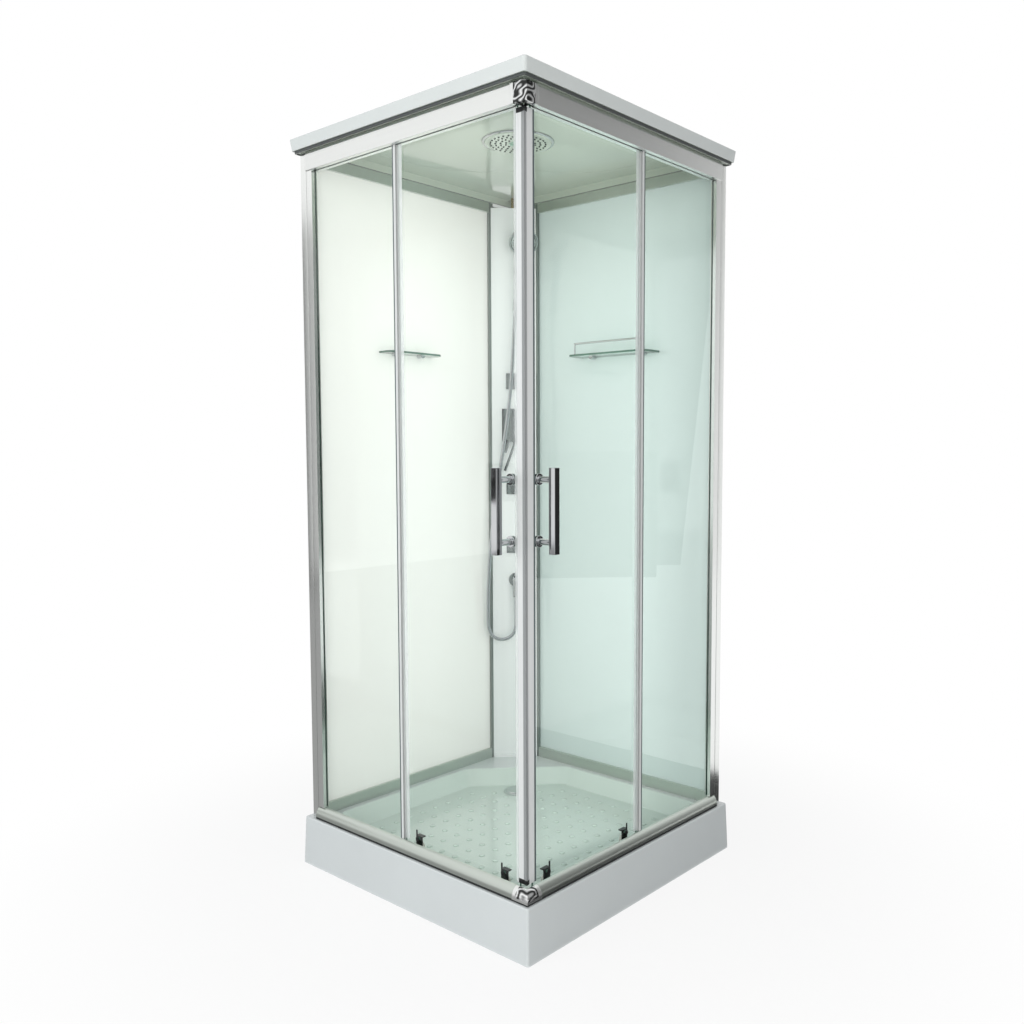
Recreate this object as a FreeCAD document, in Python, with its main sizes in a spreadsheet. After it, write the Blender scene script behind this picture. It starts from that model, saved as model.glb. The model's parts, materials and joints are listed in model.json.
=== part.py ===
import FreeCAD, Part
import math
import os
import re
import Sketcher
from FreeCAD import Placement, Rotation, Vector

# A square corner-entry shower enclosure: tray, two closed back walls with a fitting column
# in the rear corner, two glazed front faces whose doors slide away from the near corner,
# a moulded roof with a rain shower, and the fittings on the column.
# Millimetres, +Z up, the origin on the floor under the middle of the tray.
# The left front face looks along -Y and the right one along +X. The right one mirrors the
# left one across the diagonal plane through the rear corner and the near corner.

# Driving dimensions. A setback is how far a plane lies inside the tray's foot.
SIZES = {
    # tray
    "tray_half": 450, "rim_setback": 5, "tray_height": 138, "tray_wall": 5,
    "tray_corner": 7, "basin_setback": 65, "basin_depth": 50, "basin_slope": 30,
    "basin_corner": 45, "clip_setback": 121,
    # under the tray
    "bar_size": 25, "bar_wall": 2, "bar_setback": 112, "foot_setback": 140, "foot_radius": 28,
    "foot_pad": 8, "foot_rod": 5, "foot_nut": 9, "nut_height": 8,
    "drain_setback": 245, "drain_hole": 40, "flange_radius": 44, "flange_rise": 2.5,
    "sleeve_wall": 3, "sleeve_length": 22, "seat_width": 5, "seat_drop": 2,
    "seat_thick": 3, "cover_rise": 5, "cover_knob": 6, "trap_radius": 44, "trap_wall": 3,
    "trap_depth": 58, "outlet_radius": 20, "outlet_length": 60, "outlet_rise": 24,
    "outlet_stop": 4, "stop_radius": 24,
    # frame planes and heights
    "post_setback": 22, "post_width": 25, "post_wall": 2, "post_top": 2036,
    "joint_gap": 1.5, "jamb_width": 24.5, "jamb_depth": 17.5, "jamb_groove": 12,
    "wall_frame": 23, "wall_glass_inset": 13, "wall_rail_rise": 34, "wall_head_rise": 31,
    "groove_depth": 9, "groove_clear": 0.3, "glass": 5, "glass_play": 1,
    "rear_post_width": 18, "rear_post_setback": 160,
    # bottom rail section
    "toe_setback": 13, "toe_height": 8, "rail_rise": 34, "rail_curve": 28, "rail_lip": 2.2,
    "rail_floor": 3, "slot_floor": 14, "slot_rise": 28, "slot_wall": 2.1, "cavity_wall": 2.5,
    "cavity_rise": 27, "cavity_shoulder": 12, "toe_plate": 4, "guide_rise": 12,
    # door track
    "fixed_setback": 37, "door_setback": 48, "wheel_offset": 7, "track_reach": 9,
    "rib_width": 2.4, "rib_rise": 6, "track_wall": 2.5,
    # top rail section
    "head_setback": 18.5, "head_rise": 53, "head_curve": 16, "head_round": 10,
    "head_top_inset": 5.5, "head_slot": 12, "ledge_lift": 7, "ledge_wall": 2.5,
    "ledge_width": 14, "head_rib_rise": 3.5,
    # corner connectors
    "connector_proud": 1.5, "connector_round": 12, "connector_wall": 12.2,
    "connector_drop": 6, "tongue_length": 18, "tongue_play": 0.5, "connector_foot": 0.3,
    "leg_curve": 29,
    # fixed glass, its strip and the doors
    "strip_edge": 31, "strip_clip": 11, "strip_web": 1.4, "strip_fin": 1.5,
    "fin_reach": 14.6, "fin_gap": 2.8, "seal_end": 0.3, "door_start": 36,
    "door_end_setback": 65, "door_foot": 12, "door_head": 16, "seal_bite": 10,
    "seal_wall": 1.4, "seal_reach": 14, "seal_meeting": 0.4, "seal_lip": 4.2,
    # handle
    "handle_setback": 90, "handle_height": 1067.5, "mount_pitch": 147, "bar_over": 28,
    "handle_bar": 18, "handle_gap": 39, "post_radius": 8, "collar_radius": 14,
    "collar_thick": 3, "handle_bolt": 6, "bolt_play": 0.3,
    # rollers
    "roller_far": 48, "roller_near": 57, "wheel_width": 8, "top_flange": 14,
    "top_groove": 11.7, "foot_flange": 11.5, "foot_groove": 9.7, "groove_width": 3.4,
    "wheel_play": 0.3, "axle": 4, "axle_play": 0.05, "cap_radius": 11, "cap_thick": 2.8,
    "hub_radius": 8, "hub_bolt": 5.5, "washer": 6, "washer_thick": 1.5,
    "carrier_half": 12, "carrier_thick": 2.4, "carrier_foot": 5, "carrier_rise": 14,
    "horn_width": 4, "horn_rise": 14, "carrier_hood": 3, "button_radius": 6,
    "button_thick": 2, "button_rise": 7,
    # column
    "column_setback": 98.57, "column_half": 75.5, "column_thick": 4, "column_gap": 15,
    "column_lip": 6, "lip_rise": 12, "spigot": 8, "spigot_play": 0.3, "spigot_length": 10,
    "jet_half": 27, "jet_thick": 8, "jet_boss": 20, "jet_boss_rise": 3,
    "jet_rise": 200, "jet_drop": 157, "jet_pitch": 203,
    "plate_left": 41, "plate_right": 35, "plate_drop": 5, "plate_rise": 107,
    "plate_thick": 6, "block_thick": 8, "block_inset": 5, "block_gap": 7,
    "low_block": 17, "mid_block": 33, "hub_height": 1243,
    "lever_place": 5, "diverter_place": -20, "lever_slant": 20, "lever_play": 0.3,
    "lever_hub": 12, "lever_hub_depth": 28, "lever_length": 110, "lever_width": 9,
    "lever_thick": 9, "spindle": 4, "spindle_length": 11, "diverter_hub": 9.5,
    "diverter_depth": 11, "diverter_length": 44, "diverter_width": 17,
    # hose outlet, handset and its holder
    "outlet_place": 4, "outlet_drop": 120, "rose_radius": 24, "rose_thick": 6,
    "elbow_radius": 11, "elbow_reach": 30, "nut_radius": 12, "nut_length": 18,
    "nut_drop": 56, "hand_place": 8, "hand_reach": 48, "hand_foot": 1690,
    "hand_lean": 24, "hand_tilt": 18, "hand_rise": 208, "hand_low_radius": 11,
    "hand_top_radius": 14, "hand_nut_radius": 10, "hand_nut_length": 18,
    "head_radius": 48.5, "head_thick": 22, "holder_low": 112, "holder_height": 22,
    "holder_wall": 5, "holder_bore": 13.6, "holder_arm": 8, "holder_flange": 20,
    "holder_flange_thick": 5,
    # hose
    "hose_radius": 6.2, "hose_valley": 5.4, "hose_bore": 4,
    # pipes behind the column and over the ceiling
    "pipe_depth": 23, "pipe_radius": 7, "stub_radius": 5.5, "valve_half": 48, "valve_depth": 22,
    "valve_rise": 38, "inlet_place": 38, "inlet_drop": 843, "thread_radius": 10.48,
    "thread_length": 14, "pipe_rise": 35, "rain_pipe": 4,
    "rain_collar": 4.8,
    # roof
    "lip_setback": 9, "lip_drop": 3, "lip_wall": 4, "fascia_setback": 4,
    "fascia_wall": 6, "fascia_rise": 32, "roof_corner": 8, "roof_ledge": 6,
    "roof_foot": 4, "riser_setback": 50, "roof_wall": 4, "ceiling_rise": 22,
    "rain_place": 67.5, "rain_radius": 100, "rain_thick": 8, "nipple_radius": 10,
    "nipple_length": 12, "rain_boss": 92, "rain_boss_rise": 3,
    # shelves
    "shelf_thick": 6, "left_shelf_height": 1503, "left_shelf_low": -172,
    "left_shelf_length": 210, "left_shelf_depth": 60, "right_shelf_height": 1509,
    "right_shelf_low": -104, "right_shelf_length": 310, "right_shelf_depth": 80,
    "shelf_corner": 26, "bracket_radius": 9, "bracket_length": 22, "bracket_inset": 55,
    "bracket_slit": 14, "rail_bar": 3, "rail_height": 34, "rail_inset": 9,
    "rail_post_inset": 30,
}

os.makedirs("parts", exist_ok=True)
doc = FreeCAD.newDocument("shower_enclosure")
sheet = doc.addObject("Spreadsheet::Sheet", "size")
for row, (alias, number) in enumerate(SIZES.items(), start=1):
    sheet.set("A%d" % row, alias)
    sheet.set("B%d" % row, str(number))
    sheet.setAlias("B%d" % row, alias)
doc.recompute()

WORD = re.compile(r"\b[a-z][a-z_0-9]*\b(?!\()")
FINISHED = []


def text(expression):
    """The expression with each size's name pointing into the sheet."""
    return WORD.sub(lambda found: "size." + found.group(0), expression)


def value(expression):
    """The expression's number."""
    return float(sheet.evalExpression(text(expression)))


def bind(item, **sizes):
    """Tie properties of an object to expressions of the sheet."""
    for name, expression in sizes.items():
        item.setExpression(name.replace("__", "."), text(expression))
    return item


def put(item, x="0", y="0", z="0", turn=None):
    """Place an object at x, y, z, and turn it."""
    item.Placement = Placement(Vector(value(x), value(y), value(z)), turn or Rotation())
    return bind(item, Placement__Base__x=x, Placement__Base__y=y, Placement__Base__z=z)


def box(name, x, y, z):
    """A block between the two ends given for each axis."""
    item = doc.addObject("Part::Box", name)
    item.Label = name
    bind(item, Length="(%s) - (%s)" % (x[1], x[0]), Width="(%s) - (%s)" % (y[1], y[0]))
    bind(item, Height="(%s) - (%s)" % (z[1], z[0]))
    return put(item, x[0], y[0], z[0])


AXES = {"x": Vector(1, 0, 0), "y": Vector(0, 1, 0), "z": Vector(0, 0, 1)}


def rod(name, axis, radius, low, high, first="0", second="0"):
    """A cylinder along an axis, from low to high, at its two other coordinates in order."""
    item = doc.addObject("Part::Cylinder", name)
    item.Label = name
    bind(item, Radius=radius, Height="(%s) - (%s)" % (high, low))
    turn = Rotation(AXES["z"], AXES[axis])
    places = {"x": (low, first, second), "y": (first, low, second), "z": (first, second, low)}
    return put(item, *places[axis], turn=turn)


def join(name, pieces):
    """The union of the pieces."""
    item = doc.addObject("Part::MultiFuse", name)
    item.Label = name
    item.Shapes = pieces
    return item


def cut(name, base, tools):
    """The base less the tools."""
    tool = tools[0]
    if len(tools) > 1:
        tool = join(name + "_tools", tools)
    item = doc.addObject("Part::Cut", name)
    item.Label = name
    item.Base = base
    item.Tool = tool
    return item


def group(name, pieces):
    """Separate solids kept as one sub-part."""
    item = doc.addObject("Part::Compound", name)
    item.Label = name
    item.Links = pieces
    return item


def finish(*items):
    """Mark objects as finished sub-parts."""
    FINISHED.extend(items)


def mirror(name, source):
    """The right-hand piece that matches a left-hand one."""
    item = doc.addObject("Part::Mirroring", name)
    item.Label = name
    item.Source = source
    item.Base = Vector(0, 0, 0)
    item.Normal = Vector(1, 1, 0)
    return item


def pair(source, name):
    """Finish a left-hand piece and its right-hand mirror."""
    finish(source, mirror(name, source))


def new_body(name):
    body = doc.addObject("PartDesign::Body", name)
    body.Label = name
    return body


def new_sketch(body, name, plane, offset):
    """A sketch on one of the body's own planes, lifted by the offset."""
    sketch = body.newObject("Sketcher::SketchObject", name)
    support = [item for item in body.Origin.OriginFeatures if item.Role == plane + "_Plane"]
    sketch.AttachmentSupport = (support[0], [""])
    sketch.MapMode = "FlatFace"
    sketch.AttachmentOffset = Placement(Vector(0, 0, value(offset)), Rotation())
    bind(sketch, AttachmentOffset__Base__z=offset)
    return sketch


def arc_between(start, end, radius, side):
    """The shorter arc between two points, its centre left of the way for side 1."""
    chord = end - start
    middle = (start + end) * 0.5
    left = Vector(-chord.y, chord.x, 0).normalize()
    rise = math.sqrt(max(radius ** 2 - (chord.Length / 2) ** 2, 0))
    centre = middle + left * rise * side
    ends = (start, end) if side > 0 else (end, start)
    angles = [math.atan2(point.y - centre.y, point.x - centre.x) for point in ends]
    if angles[1] < angles[0]:
        angles[1] += 2 * math.pi
    return Part.ArcOfCircle(Part.Circle(centre, AXES["z"], radius), angles[0], angles[1])


def outline(sketch, corners):
    """A closed outline: each corner is x, y and, where an arc leaves it, a radius and side."""
    spots = [Vector(value(corner[0]), value(corner[1]), 0) for corner in corners]
    first = sketch.GeometryCount
    shapes = []
    ends = []
    for index, corner in enumerate(corners):
        start = spots[index]
        end = spots[(index + 1) % len(corners)]
        side = corner[3] if len(corner) > 3 else 1
        if len(corner) > 2:
            shapes.append(arc_between(start, end, value(corner[2]), side))
        else:
            shapes.append(Part.LineSegment(start, end))
        ends.append((1, 2) if len(corner) < 3 or side > 0 else (2, 1))
    sketch.addGeometry(shapes)
    rules = []
    sizes = []
    for index, corner in enumerate(corners):
        edge = first + index
        before = (index - 1) % len(corners)
        own = ends[index][0]
        rules.append(Sketcher.Constraint("Coincident", first + before, ends[before][1], edge, own))
        for kind, place, axis in (("DistanceX", 0, -2), ("DistanceY", 1, -1)):
            if corner[place] == "0":
                rules.append(Sketcher.Constraint("PointOnObject", edge, own, axis))
                continue
            sizes.append((len(rules), corner[place]))
            number = spots[index][place]
            rules.append(Sketcher.Constraint(kind, -1, 1, edge, own, number))
        if len(corner) > 2:
            sizes.append((len(rules), corner[2]))
            rules.append(Sketcher.Constraint("Radius", edge, value(corner[2])))
    base = sketch.ConstraintCount
    sketch.addConstraint(rules)
    for index, expression in sizes:
        sketch.setExpression("Constraints[%d]" % (base + index), text(expression))


def ring(sketch, x, y, radius):
    """A circle in a sketch."""
    circle = Part.Circle(Vector(value(x), value(y), 0), AXES["z"], value(radius))
    edge = sketch.addGeometry(circle)
    base = sketch.ConstraintCount
    sketch.addConstraint([
        Sketcher.Constraint("DistanceX", -1, 1, edge, 3, value(x)),
        Sketcher.Constraint("DistanceY", -1, 1, edge, 3, value(y)),
        Sketcher.Constraint("Radius", edge, value(radius)),
    ])
    for index, expression in enumerate((x, y, radius)):
        sketch.setExpression("Constraints[%d]" % (base + index), text(expression))


def prism(name, plane, offset, length, corners, holes=(), rings=()):
    """An extrusion of an outline with holes, along the plane's normal from the offset."""
    body = new_body(name)
    sketch = new_sketch(body, name + "_outline", plane, offset)
    outline(sketch, corners)
    for hole in holes:
        outline(sketch, hole)
    for x, y, radius in rings:
        ring(sketch, x, y, radius)
    pad = body.newObject("PartDesign::Pad", name + "_pad")
    pad.Profile = sketch
    bind(pad, Length=length)
    body.Tip = pad
    return body


def rectangle(low_x, low_y, high_x, high_y):
    return [(low_x, low_y), (high_x, low_y), (high_x, high_y), (low_x, high_y)]


def rounded(half, radius):
    """A square about the origin with rounded corners."""
    inner = "(%s) - (%s)" % (half, radius)
    outer = "(%s)" % half
    return [
        (inner, "-" + outer, radius), (outer, "-(%s)" % inner),
        (outer, inner, radius), (inner, outer),
        ("-(%s)" % inner, outer, radius), ("-" + outer, inner),
        ("-" + outer, "-(%s)" % inner, radius), ("-(%s)" % inner, "-" + outer),
    ]


def loft(name, low, low_corners, high, high_corners):
    """A ruled solid between two outlines at two heights."""
    body = new_body(name)
    first = new_sketch(body, name + "_low", "XY", low)
    outline(first, low_corners)
    second = new_sketch(body, name + "_high", "XY", high)
    outline(second, high_corners)
    solid = body.newObject("PartDesign::AdditiveLoft", name + "_loft")
    solid.Profile = first
    solid.Sections = [second]
    solid.Ruled = True
    body.Tip = solid
    return body


def revolve(name, plane, axis, corners):
    """A full turn of an outline about one of its sketch's axes."""
    body = new_body(name)
    sketch = new_sketch(body, name + "_outline", plane, "0")
    outline(sketch, corners)
    turned = body.newObject("PartDesign::Revolution", name + "_turn")
    turned.Profile = sketch
    turned.ReferenceAxis = (sketch, [axis])
    turned.Angle = 360
    body.Tip = turned
    return body


# Planes of the left face, as distances from the centre.
FLOOR = "(tray_height - basin_depth)"
UNDER = "(%s - tray_wall)" % FLOOR
POST_OUT = "(tray_half - post_setback)"
POST_IN = "(%s - post_width)" % POST_OUT
JAMB_OUT = "(%s - joint_gap)" % POST_IN
JAMB_IN = "(%s - jamb_width)" % JAMB_OUT
RAIL_TOP = "(tray_height + rail_rise)"
HEAD_FOOT = "(post_top - head_rise)"
FIXED_IN = "(tray_half - fixed_setback)"
FIXED_OUT = "(%s + glass)" % FIXED_IN
DOOR_IN = "(tray_half - door_setback)"
DOOR_OUT = "(%s + glass)" % DOOR_IN
WHEEL = "(%s - wheel_offset)" % DOOR_IN
TRACK_IN = "(%s - track_reach)" % WHEEL
SLOT_IN = "(%s - groove_clear)" % FIXED_IN
SLOT_OUT = "(%s + groove_clear)" % FIXED_OUT
SLOT_BACK = "(%s - slot_wall)" % SLOT_IN
TOE = "(tray_half - toe_setback)"
HEAD_FACE = "(tray_half - head_setback)"
RAIL_END = TRACK_IN
WALL_IN = "(%s - wall_frame)" % POST_OUT
WALL_GLASS = "(%s - wall_glass_inset)" % POST_OUT
DOOR_END = "(tray_half - door_end_setback)"
REAR = "(tray_half - rear_post_setback)"
DRAIN = "(tray_half - drain_setback)"
# The column's face, as a distance from the centre along the diagonal, and the basin's clip.
COLUMN = "((tray_half - column_setback) * sqrt(2))"
CLIP = "(%s - clip_setback)" % COLUMN
# Heights on the column, from the mixer down to the outlet, and of the handle's two posts.
JETS = ("(hub_height + jet_rise)", "(hub_height - jet_drop)",
        "(hub_height - jet_drop - jet_pitch)")
OUTLET = "(%s - outlet_drop)" % JETS[-1]
NUT_END = "(%s - nut_drop)" % OUTLET
MOUNTS = ("(handle_height - mount_pitch / 2)", "(handle_height + mount_pitch / 2)")


def less(place):
    return "-(%s)" % place


def basin(half, clip):
    """The basin's outline: a square with its rear corner clipped beside the column."""
    arm = "(%s) * sqrt(2) - (%s)" % (clip, half)
    step = "basin_corner * (sqrt(2) - 1)"
    slip = "basin_corner * (1 - 1 / sqrt(2))"
    inner = "(%s) - basin_corner" % half
    return [
        (inner, less(half), "basin_corner"), (half, less(inner)),
        (half, inner, "basin_corner"), (inner, half),
        ("-(%s) + %s" % (arm, step), half, "basin_corner"),
        ("-(%s) - %s" % (arm, slip), "(%s) - %s" % (half, slip)),
        ("-(%s) + %s" % (half, slip), "(%s) + %s" % (arm, slip), "basin_corner"),
        (less(half), "(%s) - %s" % (arm, step)),
        (less(half), less(inner), "basin_corner"), (less(inner), less(half)),
    ]


def make_tray():
    """A thin moulded tray: sloping skirt, flat ledge and basin."""
    rim = "tray_half - rim_setback"
    top = "tray_half - basin_setback"
    foot = "%s - basin_slope" % top
    skirt = loft("tray_skirt", "0", rounded("tray_half", "tray_corner"),
                 "tray_height", rounded(rim, "tray_corner"))
    inside = loft("tray_inside", "0", rounded("tray_half - tray_wall", "tray_corner"),
                  "tray_height - tray_wall", rounded(rim + " - tray_wall", "tray_corner"))
    bowl = loft("tray_bowl", FLOOR, basin(foot, CLIP + " - basin_slope"),
                "tray_height", basin(top, CLIP))
    shell = loft("tray_shell", UNDER,
                 basin(foot + " + tray_wall", CLIP + " - basin_slope + tray_wall"),
                 "tray_height", basin(top + " + tray_wall", CLIP + " + tray_wall"))
    hollow = cut("tray_hollow", inside, [shell])
    drain = rod("tray_drain", "z", "drain_hole", UNDER, "tray_height",
                less(DRAIN), DRAIN)
    finish(cut("tray", skirt, [hollow, bowl, drain]))


def make_frame():
    """Two crossed channels and five feet carry the tray's floor."""
    half = "bar_size / 2"
    reach = "tray_half - bar_setback"
    inner = "bar_size / 2 - bar_wall"
    low = "%s - bar_size" % UNDER
    outer = [
        box("bar_long", (less(reach), reach), ("-" + half, half), (low, UNDER)),
        box("bar_cross", ("-" + half, half), (less(reach), reach), (low, UNDER)),
    ]
    roof = "%s - bar_wall" % UNDER
    hollow = [
        box("bar_long_hollow", (less(reach), reach), (less(inner), inner), (low, roof)),
        box("bar_cross_hollow", (less(inner), inner), (less(reach), reach), (low, roof)),
    ]
    finish(cut("tray_frame", join("bar_outer", outer), hollow))
    feet = []
    pitch = "tray_half - foot_setback"
    places = (("0", "0"), (pitch, "0"), (less(pitch), "0"),
              ("0", pitch), ("0", less(pitch)))
    for index, (x, y) in enumerate(places):
        pad = rod("foot_pad_%d" % index, "z", "foot_radius", "0", "foot_pad", x, y)
        stem = rod("foot_stem_%d" % index, "z", "foot_rod", "0", roof, x, y)
        nut = rod("foot_lock_%d" % index, "z", "foot_nut", "foot_pad", "foot_pad + nut_height",
                  x, y)
        feet.append(join("foot_%d" % index, [pad, stem, nut]))
    finish(group("levelling_feet", feet))


def make_drain():
    """Flange through the floor, trap below it and a lift-out cover."""
    spot = (less(DRAIN), DRAIN)
    sleeve = "drain_hole - groove_clear"
    bore = "%s - sleeve_wall" % sleeve
    seat = "%s - seat_width" % bore
    seat_top = "%s - seat_drop" % FLOOR
    flange = join("flange_outer", [
        rod("flange_disc", "z", "flange_radius", FLOOR, FLOOR + " + flange_rise", *spot),
        rod("flange_sleeve", "z", sleeve, FLOOR + " - sleeve_length", FLOOR, *spot),
    ])
    finish(cut("drain_flange", flange, [
        rod("flange_bore", "z", bore, seat_top, FLOOR + " + flange_rise", *spot),
        rod("flange_seat", "z", seat, FLOOR + " - sleeve_length", seat_top, *spot),
        rod("flange_throat", "z", bore, FLOOR + " - sleeve_length", seat_top + " - seat_thick",
            *spot),
    ]))
    rim = "%s - groove_clear" % bore
    finish(join("drain_cover", [
        rod("cover_disc", "z", rim, seat_top, seat_top + " + cover_rise", *spot),
        rod("cover_dome", "z", rim + " - cover_knob", seat_top + " + cover_rise",
            seat_top + " + cover_rise + flange_rise", *spot),
    ]))
    low = "%s - trap_depth" % UNDER
    cup = rod("trap_cup", "z", "trap_radius", low, UNDER, *spot)
    axis = low + " + outlet_rise"
    side = "-%s - trap_radius" % DRAIN
    start = side + " - outlet_length"
    pipe = rod("trap_pipe", "x", "outlet_radius", start, less(DRAIN), DRAIN, axis)
    hollow = rod("trap_hollow", "z", "trap_radius - trap_wall", low + " + trap_wall", UNDER,
                 *spot)
    bore = rod("trap_bore", "x", "outlet_radius - trap_wall", start, less(DRAIN),
               DRAIN, axis)
    stop = rod("trap_stop", "x", "stop_radius", side + " - outlet_stop", less(DRAIN), DRAIN, axis)
    finish(cut("drain_trap", join("trap_outer", [cup, pipe, stop]), [hollow, bore]))


def make_walls():
    """Back wall on the left: glass in a frame of two rails and two posts."""
    groove = (less(WALL_GLASS) + " - glass - groove_clear", less(WALL_GLASS) + " + groove_clear")
    frame = (less(POST_OUT), less(WALL_IN))
    span = (less(POST_IN), REAR)
    foot = ("tray_height", "tray_height + wall_rail_rise")
    head = ("post_top - wall_head_rise", "post_top")
    seat = "tray_height + slot_floor"
    lid = "post_top - wall_head_rise + groove_depth * 2"
    base = box("wall_foot_block", frame, span, foot)
    slot = box("wall_foot_slot", groove, span, (seat, foot[1]))
    pair(cut("wall_rail_bottom_left", base, [slot]), "wall_rail_bottom_right")
    base = box("wall_head_block", frame, span, head)
    slot = box("wall_head_slot", groove, span, (head[0], lid))
    pair(cut("wall_rail_top_left", base, [slot]), "wall_rail_top_right")
    rise = ("tray_height", "post_top")
    base = box("rear_block", frame, (span[1], REAR + " + rear_post_width"), rise)
    slot = box("rear_slot", groove, (span[1], REAR + " + groove_depth"), rise)
    pair(cut("rear_post_left", base, [slot]), "rear_post_right")
    panel = box("wall_panel_left", (less(WALL_GLASS) + " - glass", less(WALL_GLASS)),
                (less(POST_IN) + " - groove_depth + glass_play",
                 REAR + " + groove_depth - glass_play"),
                (seat, lid + " - glass_play"))
    pair(panel, "wall_panel_right")
    edge = less(POST_OUT)
    inner = edge + " + post_wall"
    far = less(POST_IN)
    body = prism("wall_post_left", "XY", "tray_height", "post_top - tray_height",
                 [(edge, edge), (far, edge), (far, far), (groove[1], far),
                  (groove[1], far + " - groove_depth"), (groove[0], far + " - groove_depth"),
                  (groove[0], far), (edge, far)],
                 [rectangle(inner, inner, far + " - post_wall",
                            far + " - groove_depth - post_wall")])
    pair(body, "wall_post_right")


def make_jamb():
    """The inner upright of the front frame, grooved for the fixed glass."""
    left = less(JAMB_OUT)
    right = less(JAMB_IN)
    front = less(POST_OUT)
    back = "%s + jamb_depth" % front
    deep = "%s - jamb_groove" % right
    body = prism("side_jamb_left", "XY", RAIL_TOP, "%s - %s" % (HEAD_FOOT, RAIL_TOP),
                 [(left, front), (right, front), (right, less(SLOT_OUT)),
                  (deep, less(SLOT_OUT)), (deep, less(SLOT_IN)), (right, less(SLOT_IN)),
                  (right, back), (left, back)],
                 [rectangle(left + " + post_wall", front + " + post_wall",
                            deep + " - post_wall", back + " - post_wall")])
    pair(body, "side_jamb_right")


def rib_side(sign):
    return "-(%s %s rib_width / 2)" % (WHEEL, sign)


def make_bottom_rail():
    """Bottom rail: rounded face, slot for the fixed glass and a ribbed track inside."""
    floor = "tray_height + rail_floor"
    lip = "%s + rail_lip" % SLOT_OUT
    inner_wall = "-(%s + track_wall)" % TRACK_IN
    cavity = "tray_height + cavity_wall"
    section = [
        (less(TOE), "tray_height"), (less(TRACK_IN), "tray_height"),
        (less(TRACK_IN), "tray_height + guide_rise"), (inner_wall, "tray_height + guide_rise"),
        (inner_wall, floor), (rib_side("-"), floor), (rib_side("-"), floor + " + rib_rise"),
        (rib_side("+"), floor + " + rib_rise"), (rib_side("+"), floor),
        (less(SLOT_BACK), floor), (less(SLOT_BACK), "tray_height + slot_rise"),
        (less(SLOT_IN), "tray_height + slot_rise"), (less(SLOT_IN), "tray_height + slot_floor"),
        (less(SLOT_OUT), "tray_height + slot_floor"), (less(SLOT_OUT), RAIL_TOP),
        (less(lip), RAIL_TOP, "rail_curve"), (less(TOE), "tray_height + toe_height"),
    ]
    hollow = [
        ("-(%s - cavity_wall)" % TOE, cavity), ("-(%s + cavity_wall)" % SLOT_OUT, cavity),
        ("-(%s + cavity_wall)" % SLOT_OUT, "tray_height + cavity_rise"),
        ("-(%s + cavity_wall)" % lip, "tray_height + cavity_rise"),
        ("-(%s - cavity_wall)" % TOE, "tray_height + cavity_shoulder"),
    ]
    length = "%s + %s" % (RAIL_END, POST_IN)
    rail = prism("bottom_rail_profile", "YZ", less(POST_IN), length, section, [hollow])
    toe = prism("bottom_rail_toe", "XY", "tray_height", "toe_plate",
                [(RAIL_END, less(TOE)), (TOE, less(TOE)), (lip, less(lip)),
                 (RAIL_END, less(lip))])
    pair(join("bottom_rail_left", [rail, toe]), "bottom_rail_right")


def make_top_rail():
    """Top rail: front chamber, slot for the fixed glass and the ledge the doors hang on."""
    web = "post_top - track_wall"
    inner_wall = "-(%s + track_wall)" % TRACK_IN
    ledge = "%s + ledge_lift" % HEAD_FOOT
    ledge_top = "%s + ledge_wall" % ledge
    ledge_end = "-(%s + ledge_width)" % TRACK_IN
    slot_top = "%s + head_slot" % HEAD_FOOT
    front = less(HEAD_FACE)
    section = [
        (front, HEAD_FOOT), (less(SLOT_OUT), HEAD_FOOT), (less(SLOT_OUT), slot_top),
        (less(SLOT_IN), slot_top), (less(SLOT_IN), HEAD_FOOT), (less(SLOT_BACK), HEAD_FOOT),
        (less(SLOT_BACK), web), (inner_wall, web), (inner_wall, ledge_top),
        (rib_side("-"), ledge_top), (rib_side("-"), ledge_top + " + head_rib_rise"),
        (rib_side("+"), ledge_top + " + head_rib_rise"), (rib_side("+"), ledge_top),
        (ledge_end, ledge_top), (ledge_end, ledge), (less(TRACK_IN), ledge),
        (less(TRACK_IN), "post_top"), (front + " + head_top_inset", "post_top", "head_curve"),
        (front, "post_top - head_round"),
    ]
    skin = front + " + cavity_wall"
    hollow = [
        (skin, slot_top + " + cavity_wall"),
        ("-(%s + cavity_wall)" % SLOT_BACK, slot_top + " + cavity_wall"),
        ("-(%s + cavity_wall)" % SLOT_BACK, web), (front + " + head_top_inset", web),
        (skin, "post_top - head_round"),
    ]
    length = "%s + %s" % (RAIL_END, POST_IN)
    rail = prism("top_rail_left", "YZ", less(POST_IN), length, section, [hollow])
    pair(rail, "top_rail_right")


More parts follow.
